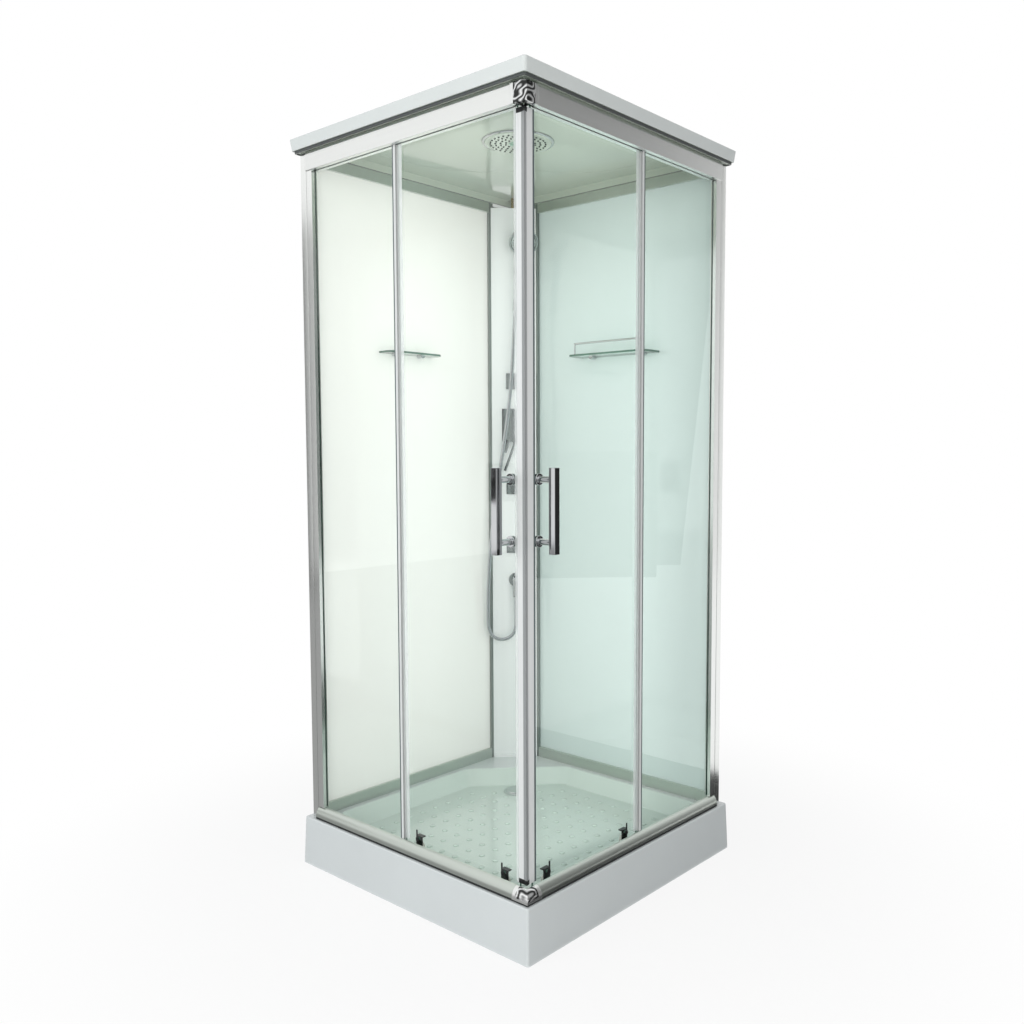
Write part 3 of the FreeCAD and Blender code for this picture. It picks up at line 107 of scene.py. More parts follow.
def new_finish(name):
    """An empty material with its output, ready for shaders."""
    material = bpy.data.materials.new(name)
    material.use_nodes = True
    nodes = material.node_tree.nodes
    nodes.clear()
    return material, nodes, material.node_tree.links, nodes.new("ShaderNodeOutputMaterial")


def grain_of(nodes, links, scale, stretch, detail=3.0):
    """Noise that stays on the piece, drawn out along an axis where the stretch is small."""
    place = nodes.new("ShaderNodeTexCoord")
    drawn = nodes.new("ShaderNodeMapping")
    drawn.inputs["Scale"].default_value = stretch
    noise = nodes.new("ShaderNodeTexNoise")
    noise.inputs["Scale"].default_value = scale
    noise.inputs["Detail"].default_value = detail
    links.new(place.outputs["Object"], drawn.inputs["Vector"])
    links.new(drawn.outputs["Vector"], noise.inputs["Vector"])
    return noise.outputs["Fac"]


def spread(nodes, links, value, low, high):
    """A noise value spread from low to high."""
    ranged = nodes.new("ShaderNodeMapRange")
    ranged.inputs["From Min"].default_value = 0.3
    ranged.inputs["From Max"].default_value = 0.7
    ranged.inputs["To Min"].default_value = low
    ranged.inputs["To Max"].default_value = high
    links.new(value, ranged.inputs["Value"])
    return ranged.outputs["Result"]


def mottled(nodes, links, value, colour, amount):
    """A colour that drifts lighter and darker with a noise value."""
    ramp = nodes.new("ShaderNodeValToRGB")
    ramp.color_ramp.elements[0].position = 0.3
    ramp.color_ramp.elements[1].position = 0.7
    ramp.color_ramp.elements[0].color = shaded(colour, -amount)
    ramp.color_ramp.elements[1].color = shaded(colour, amount)
    links.new(value, ramp.inputs["Fac"])
    return ramp.outputs["Color"]


def raised(nodes, links, value, strength, depth):
    """A normal that follows a height."""
    bump = nodes.new("ShaderNodeBump")
    bump.inputs["Strength"].default_value = strength
    bump.inputs["Distance"].default_value = depth
    links.new(value, bump.inputs["Height"])
    return bump.outputs["Normal"]


def surface(name, colour, rough, metallic=0.0, coat=0.0, scale=60, stretch=(1, 1, 1), drift=0.03,
            rough_drift=0.04, bump=0.05, depth=0.0002):
    """A solid surface: its colour, polish and fine relief all drift a little over the piece."""
    material, nodes, links, out = new_finish(name)
    shader = nodes.new("ShaderNodeBsdfPrincipled")
    shader.inputs["Metallic"].default_value = metallic
    shader.inputs["Coat Weight"].default_value = coat
    shader.inputs["Coat Roughness"].default_value = 0.03
    broad = grain_of(nodes, links, scale / 12, stretch)
    fine = grain_of(nodes, links, scale, stretch)
    polish = spread(nodes, links, fine, rough - rough_drift, rough + rough_drift)
    links.new(mottled(nodes, links, broad, colour, drift), shader.inputs["Base Color"])
    links.new(polish, shader.inputs["Roughness"])
    links.new(raised(nodes, links, fine, bump, depth), shader.inputs["Normal"])
    links.new(shader.outputs["BSDF"], out.inputs["Surface"])
    return material


def clear(name, tint, ior=1.5):
    """Clear sheet: what is behind shows through its tint, and it mirrors more at a glance."""
    material, nodes, links, out = new_finish(name)
    through = nodes.new("ShaderNodeBsdfTransparent")
    through.inputs["Color"].default_value = tint
    gloss = nodes.new("ShaderNodeBsdfGlossy")
    gloss.inputs["Color"].default_value = (1, 1, 1, 1)
    gloss.inputs["Roughness"].default_value = 0.01
    glance = nodes.new("ShaderNodeFresnel")
    glance.inputs["IOR"].default_value = ior
    way_in = nodes.new("ShaderNodeNewGeometry")
    outer = nodes.new("ShaderNodeMath")
    outer.operation = "SUBTRACT"
    outer.inputs[0].default_value = 1
    only_in = nodes.new("ShaderNodeMath")
    only_in.operation = "MULTIPLY"
    mix = nodes.new("ShaderNodeMixShader")
    links.new(way_in.outputs["Backfacing"], outer.inputs[1])
    links.new(glance.outputs["Fac"], only_in.inputs[0])
    links.new(outer.outputs["Value"], only_in.inputs[1])
    links.new(only_in.outputs["Value"], mix.inputs["Fac"])
    links.new(through.outputs["BSDF"], mix.inputs[1])
    links.new(gloss.outputs["BSDF"], mix.inputs[2])
    links.new(mix.outputs["Shader"], out.inputs["Surface"])
    return material


def milky(name, colour, body):
    """Soft clear plastic: part of it shows what is behind, part of it is pale body."""
    material, nodes, links, out = new_finish(name)
    through = nodes.new("ShaderNodeBsdfTransparent")
    through.inputs["Color"].default_value = colour
    solid = nodes.new("ShaderNodeBsdfPrincipled")
    solid.inputs["Base Color"].default_value = colour
    solid.inputs["Roughness"].default_value = 0.15
    mix = nodes.new("ShaderNodeMixShader")
    cloudy = grain_of(nodes, links, 30, (1, 1, 0.1))
    links.new(spread(nodes, links, cloudy, body - 0.05, body + 0.05), mix.inputs["Fac"])
    links.new(through.outputs["BSDF"], mix.inputs[1])
    links.new(solid.outputs["BSDF"], mix.inputs[2])
    links.new(mix.outputs["Shader"], out.inputs["Surface"])
    return material


ALONG_X = (0.02, 1, 1)
ALONG_Y = (1, 0.02, 1)
ALONG_Z = (1, 1, 0.02)

acrylic = surface("white_acrylic", tone(211, 216, 217), 0.22, coat=0.5, scale=90, drift=0.012,
                  rough_drift=0.05, bump=0.04, depth=0.0004)
basin_acrylic = surface("basin_acrylic", tone(204, 216, 210), 0.2, coat=0.5, scale=120, drift=0.015)
roof_acrylic = surface("roof_acrylic", tone(211, 216, 215), 0.2, coat=0.5, scale=80, drift=0.012)
# The ceiling is the roof's same white acrylic, painted darker and greener as the shade under the roof.
ceiling_painted_shade = surface("ceiling_painted_shade", tone(177, 187, 174), 0.16, coat=0.6, scale=70, drift=0.015)
chrome = surface("polished_chrome", tone(205, 207, 209), 0.06, metallic=1.0, scale=50, drift=0.02,
                 rough_drift=0.02, bump=0.02)


def painted_reflection_chrome(name, low, high):
    """Cast and chromed: a wavy skin with dark bands painted into its colour as reflections."""
    material, nodes, links, out = new_finish(name)
    shader = nodes.new("ShaderNodeBsdfPrincipled")
    shader.inputs["Metallic"].default_value = 0.75
    waves = grain_of(nodes, links, 24, (1, 1, 1.6), 0.6)
    # Dark bands painted into the base colour: painted reflections of dark surroundings.
    bands = nodes.new("ShaderNodeMath")
    bands.operation = "PINGPONG"
    bands.inputs[1].default_value = 0.075
    links.new(waves, bands.inputs[0])
    ramp = nodes.new("ShaderNodeValToRGB")
    ramp.color_ramp.elements[0].position = 0.02
    ramp.color_ramp.elements[1].position = 0.07
    ramp.color_ramp.elements[0].color = low
    ramp.color_ramp.elements[1].color = high
    links.new(bands.outputs["Value"], ramp.inputs["Fac"])
    links.new(ramp.outputs["Color"], shader.inputs["Base Color"])
    links.new(spread(nodes, links, waves, 0.05, 0.12), shader.inputs["Roughness"])
    links.new(raised(nodes, links, waves, 0.8, 0.004), shader.inputs["Normal"])
    links.new(shader.outputs["BSDF"], out.inputs["Surface"])
    return material


wavy_chrome_painted_reflection = painted_reflection_chrome("cast_chrome_painted_reflection", tone(46, 48, 47), tone(236, 237, 237))


def brushed(name, colour, stretch, rough=0.3):
    """Satin aluminium, its fine grain drawn along the profile."""
    return surface(name, colour, rough, metallic=1.0, scale=900, stretch=stretch, drift=0.015,
                   rough_drift=0.02, bump=0.015)


SATIN = tone(238, 240, 238)
# The bottom rails and wall rails are the same satin aluminium as the top rails, in a darker copy: painted
# shade.
PAINTED_SHADE_SATIN = tone(204, 211, 204)
satin = {run: brushed(f"satin_rail_{run}", SATIN, stretch)
         for run, stretch in (("x", ALONG_X), ("y", ALONG_Y))}
painted_shade_satin = {run: brushed(f"satin_painted_shade_rail_{run}", PAINTED_SHADE_SATIN, stretch)
             for run, stretch in (("x", ALONG_X), ("y", ALONG_Y))}
jamb_satin = brushed("satin_jamb", SATIN, ALONG_Z, 0.16)
# The rear posts are the same satin aluminium as the jambs, painted a darker grey as the shade where they
# meet the column.
rear_post_painted_shade = brushed("satin_rear_post_painted_shade", tone(146, 153, 150), ALONG_Z)
column_sheet = surface("silver_sheet", tone(236, 238, 239), 0.34, metallic=0.08, scale=700,
                       stretch=ALONG_Z, drift=0.02)
# Near black: a dark ring round the hand shower's spray plate, and painted shade on the bottom rails' toe
# where the rail meets the tray.
seal_and_painted_shade = surface("dark_gasket", tone(38, 40, 40), 0.6, scale=260, drift=0.08, bump=0.1)
# The roof's lip is painted dark grey: painted shade for the shaded underside and gap under the roof's brim.
lip_painted_shade = surface("roof_lip_grey", tone(74, 78, 78), 0.5, scale=260, drift=0.06, bump=0.1)
zinc = surface("zinc_plate", tone(160, 166, 170), 0.42, metallic=1.0, scale=120, drift=0.10, bump=0.12)
trap_plastic = surface("trap_plastic", tone(215, 217, 214), 0.45, scale=150, drift=0.02, bump=0.1)
brass = surface("drawn_brass", tone(150, 134, 84), 0.28, metallic=1.0, scale=300, drift=0.05)
hose_steel = surface("hose_sleeve", tone(190, 192, 196), 0.16, metallic=1.0, scale=400, drift=0.05)
nylon = surface("white_nylon", tone(222, 222, 216), 0.5, scale=200, drift=0.03, bump=0.1)
black_plastic = surface("black_plastic", tone(30, 31, 32), 0.38, scale=300, drift=0.1, bump=0.15)
rose_button = surface("rose_button", tone(112, 148, 128), 0.3, scale=200, drift=0.04)
nozzle_rubber = surface("nozzle_rubber", tone(24, 38, 33), 0.5, scale=400, drift=0.12, bump=0.1)
spray_plate = surface("spray_plate", tone(186, 196, 194), 0.28, metallic=0.3, scale=200, drift=0.03)
# The two wall panels are one white-backed glass: the left is painted near white as a bright reflection, the
# right darker and bluer as a dim reflection.
wall_glass_painted_reflection = {
    "left": surface("wall_glass_left", tone(250, 248, 246), 0.04, coat=0.6, scale=4, drift=0.012,
                    rough_drift=0.01, bump=0.0),
    "right": surface("wall_glass_right", tone(210, 222, 221), 0.04, coat=0.6, scale=4, drift=0.02,
                     rough_drift=0.01, bump=0.0),
}
wall_backing = surface("wall_backing", tone(205, 209, 208), 0.5, scale=60, drift=0.02, bump=0.1)
front_glass = clear("front_glass", tone(252, 254, 253), ior=1.6)
glass_edge = surface("glass_edge", tone(74, 108, 94), 0.12, coat=0.8, scale=40, drift=0.15)
shelf_glass = clear("shelf_glass", tone(238, 246, 243))
seal_plastic = milky("seal_plastic", tone(247, 249, 249), 0.4)
seal_white = surface("seal_magnet_white", tone(219, 221, 221), 0.3, stretch=ALONG_Z, drift=0.01)
seal_grey = surface("seal_lip_grey", tone(150, 153, 154), 0.35, stretch=ALONG_Z, drift=0.03)
seal_slate = surface("seal_lip_slate", tone(92, 102, 104), 0.35, stretch=ALONG_Z, drift=0.04)


def dress(node, *finishes):
    """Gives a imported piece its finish, in place of the plain one it came with."""
    piece = frame["nodes"][node]
    piece.data.materials.clear()
    for material in finishes:
        piece.data.materials.append(material)
    return piece


def dress_pane(node, face_finish, across):
    """Glass: its two broad faces are clear, and its ground edges are darker."""
    piece = dress(node, face_finish, glass_edge)
    for face in piece.data.polygons:
        face.material_index = 0 if abs(face.normal.dot(across)) > 0.5 else 1


def let_go():
    """Nothing is left selected, so an operator acts on its own piece alone."""
    bpy.ops.object.select_all(action="DESELECT")


def hold(piece):
    """This piece alone is selected and active."""
    let_go()
    piece.select_set(True)
    bpy.context.view_layer.objects.active = piece


def take_up(piece):
    """This piece alone is open in edit mode, with nothing in it selected."""
    hold(piece)
    bpy.ops.object.mode_set(mode="EDIT")
    bpy.ops.mesh.select_mode(type="EDGE")
    bpy.ops.mesh.select_all(action="DESELECT")


def put_down():
    """Edit mode is over."""
    bpy.ops.object.mode_set(mode="OBJECT")


def pick_edges(piece, wanted):
    """Selects the edges whose two ends and two faces pass a test."""
    bpy.ops.mesh.select_all(action="DESELECT")
    shape = bmesh.from_edit_mesh(piece.data)
    for edge in shape.edges:
        edge.select_set(bool(wanted(edge)))
    bmesh.update_edit_mesh(piece.data)


def cut_at(piece, place, normal):
    """A plane parts the piece's faces, so each side can carry its own finish."""
    take_up(piece)
    bpy.ops.mesh.select_all(action="SELECT")
    bpy.ops.mesh.bisect(plane_co=place, plane_no=normal)
    put_down()


def smooth_off(piece, angle=35):
    """Round where the faces turn gently, crisp elsewhere, with flat faces shaded flat."""
    hold(piece)
    bpy.ops.object.shade_smooth_by_angle(angle=math.radians(angle))
    even = piece.modifiers.new("even", "WEIGHTED_NORMAL")
    even.keep_sharp = True
    bpy.ops.object.modifier_apply(modifier="even")


def place_in_mesh(piece):
    """The piece's place goes into its mesh, and its object back to the origin."""
    hold(piece)
    bpy.ops.object.transform_apply(location=True, rotation=True, scale=True)


def join_up(pieces, name):
    """Several pieces become one."""
    let_go()
    for piece in pieces:
        piece.select_set(True)
    bpy.context.view_layer.objects.active = pieces[0]
    bpy.ops.object.join()
    pieces[0].name = name
    return pieces[0]


def stand_in(piece, *nodes):
    """The piece takes these nodes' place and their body."""
    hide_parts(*nodes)
    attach(piece, body_of(frame["nodes"][nodes[0]])[0])


def fit_to(piece, body):
    """A new piece rides on a body."""
    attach(piece, body)


def welded(node, name):
    """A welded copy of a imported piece, its flat faces made whole again."""
    mesh = frame["nodes"][node].data.copy()
    mesh.materials.clear()
    piece = bpy.data.objects.new(name, mesh)
    bpy.context.scene.collection.objects.link(piece)
    take_up(piece)
    bpy.ops.mesh.select_all(action="SELECT")
    bpy.ops.mesh.remove_doubles(threshold=0.00002)
    bpy.ops.mesh.dissolve_limited(angle_limit=math.radians(0.6))
    put_down()
    return piece


def broken_edges(piece, width, steps=2):
    """Every sharp edge gets a small round, as a moulded or deburred piece has."""
    soften = piece.modifiers.new("round", "BEVEL")
    soften.limit_method = "ANGLE"
    soften.angle_limit = math.radians(30)
    soften.width = width
    soften.segments = steps
    hold(piece)
    bpy.ops.object.modifier_apply(modifier="round")


def eased(node, width, *finishes, steps=2, cuts=()):
    """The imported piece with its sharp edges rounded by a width, and its faces parted at the cuts."""
    piece = welded(node, f"{node}_eased")
    broken_edges(piece, width, steps)
    for place, normal in cuts:
        cut_at(piece, place, normal)
    smooth_off(piece)
    for material in finishes:
        piece.data.materials.append(material)
    stand_in(piece, node)
    return piece


def turned(name, outline, sides=48):
    """A round piece about Z: from a first disc, ring after ring is drawn out and widened."""
    radius, height = outline[0]
    let_go()
    bpy.ops.mesh.primitive_circle_add(vertices=sides, radius=radius, fill_type="NGON",
                                      location=(0, 0, height))
    piece = bpy.context.active_object
    piece.name = name
    bpy.ops.object.mode_set(mode="EDIT")
    bpy.ops.mesh.select_all(action="SELECT")
    for (last_radius, last_height), (radius, height) in zip(outline, outline[1:]):
        bpy.ops.mesh.extrude_region_move(TRANSFORM_OT_translate={"value": (0, 0, height - last_height)})
        share = radius / last_radius
        bpy.ops.transform.resize(value=(share, share, 1))
    bpy.ops.mesh.select_all(action="SELECT")
    bpy.ops.mesh.normals_make_consistent(inside=False)
    put_down()
    return piece


def set_at(piece, place, facing):
    """Turns the piece's Z to the facing and moves it to its place, in its mesh."""
    turn = facing.to_track_quat("Z", "Y").to_matrix().to_4x4()
    piece.matrix_world = Matrix.Translation(place) @ turn @ piece.matrix_world
    place_in_mesh(piece)


def copies_of(piece, places, facing, name):
    """The piece repeated at each place, all facing one way, as one mesh."""
    turn = facing.to_track_quat("Z", "Y").to_matrix().to_4x4()
    copies = []
    for place in places:
        twin = piece.copy()
        twin.data = piece.data.copy()
        bpy.context.scene.collection.objects.link(twin)
        twin.matrix_world = Matrix.Translation(place) @ turn
        copies.append(twin)
    bpy.data.objects.remove(piece)
    whole = join_up(copies, name)
    place_in_mesh(whole)
    return whole


def spray_nozzle(radius, height):
    """One soft nozzle: a short cone with a rounded tip, its foot at the origin."""
    nozzle = turned("nozzle", [(radius, -height * 0.3), (radius, 0.0), (radius * 0.82, height * 0.7),
                               (radius * 0.5, height)], sides=8)
    place_in_mesh(nozzle)
    nozzle.data.shade_smooth()
    return nozzle


def route_point(across, depth, height):
    """A place given from the column's own face, in the enclosure's frame."""
    return COLUMN_FRAME @ Vector((across, depth, height))


HOSE_ROUTE = [
    (0.00594, -0.04646, 1.67215), (0.00333, -0.0445, 1.6495), (0.0006, -0.0456, 1.6070),
    (-0.0035, -0.0495, 1.5300), (-0.0115, -0.0540, 1.4170), (-0.0270, -0.0570, 1.2830),
    (-0.0490, -0.0575, 1.1450), (-0.0700, -0.0555, 1.0030), (-0.0845, -0.0510, 0.8650),
    (-0.0910, -0.0455, 0.7450), (-0.0925, -0.0400, 0.6520), (-0.0915, -0.0360, 0.5880),
    (-0.0635, -0.0330, 0.5600), (-0.0240, -0.0310, 0.5605), (0.0032, -0.0304, 0.5890),
    (0.0040, -0.0300, 0.6480), (0.0040, -0.0300, 0.70695),
]
HOSE_WIDTH = 0.0124
RIB_PITCH = 0.0048
RIB_DROP = 0.0009
RIB_SIDES = 16


def smooth_route(points, fineness):
    """The points along one smooth curve that the given points steer."""
    curve = bpy.data.curves.new("hose_route", "CURVE")
    curve.dimensions = "3D"
    curve.resolution_u = fineness
    line = curve.splines.new("NURBS")
    line.points.add(len(points) - 1)
    for knot, place in zip(line.points, points):
        knot.co = (*place, 1)
    line.order_u = 3
    line.use_endpoint_u = True
    holder = bpy.data.objects.new("hose_route", curve)
    bpy.context.scene.collection.objects.link(holder)
    mesh = bpy.data.meshes.new_from_object(holder)
    places = [vertex.co.copy() for vertex in mesh.vertices]
    bpy.data.objects.remove(holder)
    return places


def even_stations(places, step):
    """Places every step along a line, with the direction of travel at each."""
    lengths = [0.0]
    for here, there in zip(places, places[1:]):
        lengths.append(lengths[-1] + (there - here).length)
    count = round(lengths[-1] / step)
    stations = []
    leg = 0
    for turn in range(count + 1):
        goal = lengths[-1] * turn / count
        while leg < len(places) - 2 and lengths[leg + 1] < goal:
            leg += 1
        share = (goal - lengths[leg]) / (lengths[leg + 1] - lengths[leg])
        stations.append(places[leg].lerp(places[leg + 1], share))
    headings = [(b - a).normalized() for a, b in zip(stations, stations[1:])]
    headings.append(headings[-1])
    return stations, headings


def ribbed_hose():
    """The metal sleeve: one tube with a crest at each turn of its strip, capped at both ends."""
    path = smooth_route([route_point(*place) for place in HOSE_ROUTE], 24)
    drops = (1.0, 0.3, 0.0, 0.3)
    stations, headings = even_stations(path, RIB_PITCH / len(drops))
    across = Vector((TURN, TURN, 0))
    vertices = []
    for index, (place, heading) in enumerate(zip(stations, headings)):
        across = (across - heading * across.dot(heading)).normalized()
        aside = heading.cross(across)
        radius = HOSE_WIDTH / 2 - RIB_DROP * drops[index % len(drops)]
        for side in range(RIB_SIDES):
            angle = 2 * math.pi * side / RIB_SIDES
            vertices.append(place + (across * math.cos(angle) + aside * math.sin(angle)) * radius)
    faces = []
    for ring in range(len(stations) - 1):
        first = ring * RIB_SIDES
        for side in range(RIB_SIDES):
            after = (side + 1) % RIB_SIDES
            beyond = first + RIB_SIDES
            faces.append((first + side, first + after, beyond + after, beyond + side))
    last = (len(stations) - 1) * RIB_SIDES
    faces.append(tuple(reversed(range(RIB_SIDES))))
    faces.append(tuple(range(last, last + RIB_SIDES)))
    mesh = bpy.data.meshes.new("ribbed_hose")
    mesh.from_pydata(vertices, [], faces)
    mesh.materials.append(hose_steel)
    mesh.shade_smooth()
    hose = bpy.data.objects.new("ribbed_hose", mesh)
    bpy.context.scene.collection.objects.link(hose)
    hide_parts("shower_hose")
    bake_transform(hose, "enclosure", "handset", start=path[-1], end=path[0])


def level_edge(edge, height):
    """Both ends of the edge lie at one height."""
    return all(abs(vertex.co.z - height) < 0.0004 for vertex in edge.verts)


def faced(piece, finishes, choose):
    """The piece gets these finishes, and each face the one whose number is chosen for it."""
    for material in finishes:
        piece.data.materials.append(material)
    for face in piece.data.polygons:
        face.material_index = choose(face)


def reach_of(place):
    """How far a place lies from the enclosure's middle, toward its nearest side."""
    return max(abs(place.x), abs(place.y))


TRAY_TOP = 0.138
TRAY_FLOOR = 0.088
BASIN_HALF = 0.386
RIM_REACH = 0.43
RIM_ROUND = 0.004
BASIN_ROUND = 0.0035
COVE_ROUND = 0.016
DRAIN = Vector((-0.205, 0.205, 0))
DRAIN_REACH = 0.05
TREAD_PITCH = 0.0525
TREAD_START = 0.0145
TREAD_REACH = 0.318
TREADS_TO_CORNER = 0.43
TREADS_TO_DRAIN = 0.062


def shower_tray():
    """The moulded tray: rounded rim, soft basin edge and a cove round its floor."""
    tray = welded("tray", "moulded_tray")
    take_up(tray)

    def round_off(height, wanted, width, steps):
        pick_edges(tray, lambda edge: level_edge(edge, height) and all(wanted(v.co) for v in edge.verts))
        bpy.ops.mesh.bevel(offset=width, segments=steps, affect="EDGES", clamp_overlap=True)

    def by_drain(edge):
        return all((vertex.co.xy - DRAIN.xy).length < DRAIN_REACH for vertex in edge.verts)

    def in_basin(face):
        inside = reach_of(face.center) < BASIN_HALF + 0.004
        return inside and TRAY_FLOOR - 0.002 < face.center.z < TRAY_TOP - 0.0002

    pick_edges(tray, lambda edge: level_edge(edge, TRAY_FLOOR) and not by_drain(edge))
    bpy.ops.mesh.bevel(offset=COVE_ROUND, segments=5, affect="EDGES", clamp_overlap=True)
    round_off(TRAY_TOP, lambda place: reach_of(place) < BASIN_HALF + 0.001, BASIN_ROUND, 3)
    round_off(TRAY_TOP, lambda place: reach_of(place) > RIM_REACH, RIM_ROUND, 3)
    put_down()
    for quarter in ((1, 0, 0), (0, 1, 0)):
        cut_at(tray, (0, 0, 0), quarter)
    smooth_off(tray)
    faced(tray, (acrylic, basin_acrylic), lambda face: 1 if in_basin(face) else 0)
    stand_in(tray, "tray")


def tray_treads():
    """Low domes in rows over the tray's floor, clear of the drain."""
    tread = turned("tread", [(0.0082, -0.0004), (0.0080, 0.0008), (0.0066, 0.0020), (0.0036, 0.0026)],
                   sides=14)
    tread.data.shade_smooth()
    places = []
    for row in range(-6, 7):
        for line in range(-6, 7):
            place = Vector((TREAD_START + row * TREAD_PITCH, line * TREAD_PITCH - TREAD_START, TRAY_FLOOR))
            by_side = reach_of(place) > TREAD_REACH
            in_corner = place.y - place.x > TREADS_TO_CORNER
            by_drain = (place.xy - DRAIN.xy).length <= TREADS_TO_DRAIN
            if not by_side and not in_corner and not by_drain:
                places.append(place)
    treads = copies_of(tread, places, Vector((0, 0, 1)), "tray_treads")
    treads.data.materials.append(basin_acrylic)
    fit_to(treads, "enclosure")


CEILING = 2.058
CEILING_REACH = 0.401
LIP_TOP = 2.0405
LIP_REACH = (0.4, 0.4425)
BRIM_ROUND = 0.003


def moulded_roof():
    """The roof's one moulded sheet: rounded brim edges, a ceiling painted darker as shade and a lip painted
    dark grey as shade.
    """
    roof = welded("roof", "moulded_roof")
    broken_edges(roof, BRIM_ROUND, 3)
    smooth_off(roof)

    def part_of_roof(face):
        reach = reach_of(face.center)
        at_lip = LIP_REACH[0] < reach < LIP_REACH[1] and face.center.z < LIP_TOP
        in_ceiling = reach < CEILING_REACH and face.center.z < CEILING + 0.0005
        return 2 if at_lip else 1 if in_ceiling else 0

    # The lip faces take the dark grey painted shade.
    faced(roof, (roof_acrylic, ceiling_painted_shade, lip_painted_shade), part_of_roof)
    stand_in(roof, "roof")


RELIEF_DROP = 0.004
RELIEF_OUTLINE = [
    (0.345, -0.345), (0.345, 0.18), (0.335, 0.26), (0.29, 0.315), (0.2, 0.33), (0.1, 0.325),
    (0.02, 0.3), (-0.04, 0.25), (-0.08, 0.19), (-0.13, 0.15), (-0.2, 0.1), (-0.26, 0.05),
    (-0.3, -0.02), (-0.325, -0.1), (-0.33, -0.2), (-0.315, -0.29), (-0.26, -0.335), (-0.18, -0.345),
]


def ceiling_relief():
    """The raised field of the ceiling, with the wavy edge that it turns to the column."""
    let_go()
    bpy.ops.mesh.primitive_circle_add(vertices=len(RELIEF_OUTLINE), radius=0.3, fill_type="NGON",
                                      location=(0, 0, 0))
    field = bpy.context.active_object
    field.name = "ceiling_relief"
    for vertex, (x, y) in zip(field.data.vertices, RELIEF_OUTLINE):
        vertex.co = (x, y, CEILING - RELIEF_DROP)
    bpy.ops.object.mode_set(mode="EDIT")
    bpy.ops.mesh.select_mode(type="VERT")
    bpy.ops.mesh.select_all(action="SELECT")
    bpy.ops.mesh.bevel(offset=0.03, segments=4, affect="VERTICES", clamp_overlap=True)
    bpy.ops.mesh.select_mode(type="FACE")
    bpy.ops.mesh.select_all(action="SELECT")
    bpy.ops.mesh.inset(thickness=0.012, depth=0)
    bpy.ops.mesh.select_mode(type="VERT")
    shape = bmesh.from_edit_mesh(field.data)
    for vertex in shape.verts:
        if vertex.is_boundary:
            vertex.co.z = CEILING + 0.0005
    bmesh.update_edit_mesh(field.data)
    bpy.ops.mesh.select_all(action="SELECT")
    bpy.ops.mesh.normals_make_consistent(inside=False)
    put_down()
    if field.data.polygons[0].normal.z > 0:
        field.data.flip_normals()
    edge = field.modifiers.new("soft", "BEVEL")
    edge.width = 0.004
    edge.segments = 3
    edge.limit_method = "ANGLE"
    edge.angle_limit = math.radians(10)
    hold(field)
    bpy.ops.object.modifier_apply(modifier="soft")
    field.data.shade_smooth()
    # The relief takes the ceiling's painted shade colour.
    field.data.materials.append(ceiling_painted_shade)
    fit_to(field, "enclosure")


ROSE = Vector((0.0675, -0.0675, 0))
ROSE_FACE = 2.0476
ROSE_RIM = 0.0925
BUTTON_REACH = 0.0246
ROSE_RINGS = ((0.034, 12), (0.048, 18), (0.062, 24), (0.076, 30))


def ring_of(reach, count, offset=0.0):
    """Places on a circle about the origin, the first of them turned on by a share of a step."""
    angles = [2 * math.pi * (spoke + offset) / count for spoke in range(count)]
    return [(math.cos(angle) * reach, math.sin(angle) * reach) for angle in angles]


def add_nozzles(name, nozzle, places, facing, body):
    """Soft dark nozzles at these places, all facing one way."""
    nozzles = copies_of(nozzle, places, facing, name)
    nozzles.data.materials.append(nozzle_rubber)
    fit_to(nozzles, body)


def rain_rose():
    """The round overhead shower with its flat brim, centre button and nozzles in spokes."""
    rose = turned("rain_rose", [
        (0.0230, 2.0470), (0.0245, 2.0473), (0.0250, 2.0480), (0.0330, 2.0478), (0.0850, 2.0476),
        (0.0910, 2.0481), (0.0925, 2.0500), (0.0985, 2.0507), (0.1000, 2.0525), (0.1000, 2.0565),
        (0.0985, 2.0580), (0.0110, 2.0580), (0.0100, 2.0586), (0.0100, 2.0700)], sides=72)
    place_in_mesh(rose)
    rose.matrix_world = Matrix.Translation(ROSE)
    place_in_mesh(rose)
    smooth_off(rose, 40)

    def part_of_rose(face):
        reach = (face.center.xy - ROSE.xy).length
        on_button = reach < BUTTON_REACH and face.center.z < ROSE_FACE + 0.0024
        on_rim = reach > ROSE_RIM or face.center.z > CEILING - 0.0005
        return 2 if on_button else 1 if on_rim else 0

    # The rose's face takes the ceiling's painted shade colour.
    faced(rose, (ceiling_painted_shade, chrome, rose_button), part_of_rose)
    stand_in(rose, "rain_shower")
    places = []
    for ring, (reach, count) in enumerate(ROSE_RINGS):
        places += [ROSE + Vector((x, y, ROSE_FACE)) for x, y in ring_of(reach, count, 0.5 * (ring % 2))]
    add_nozzles("rain_nozzles", spray_nozzle(0.0028, 0.0024), places, Vector((0, 0, -1)), "enclosure")


HAND_FOOT = Vector((0.008, -0.048, 1.690))
HAND_WAY = Vector((0.024, -0.018, 0.208))
SPRAY_WAY = Vector((0, -1, -1)).normalized()
SPRAY_FACE = 0.0098
PLATE_REACH = 0.0403
PLATE_RING = 0.0424
HAND_RINGS = ((0.009, 6), (0.018, 12), (0.027, 18), (0.035, 24))


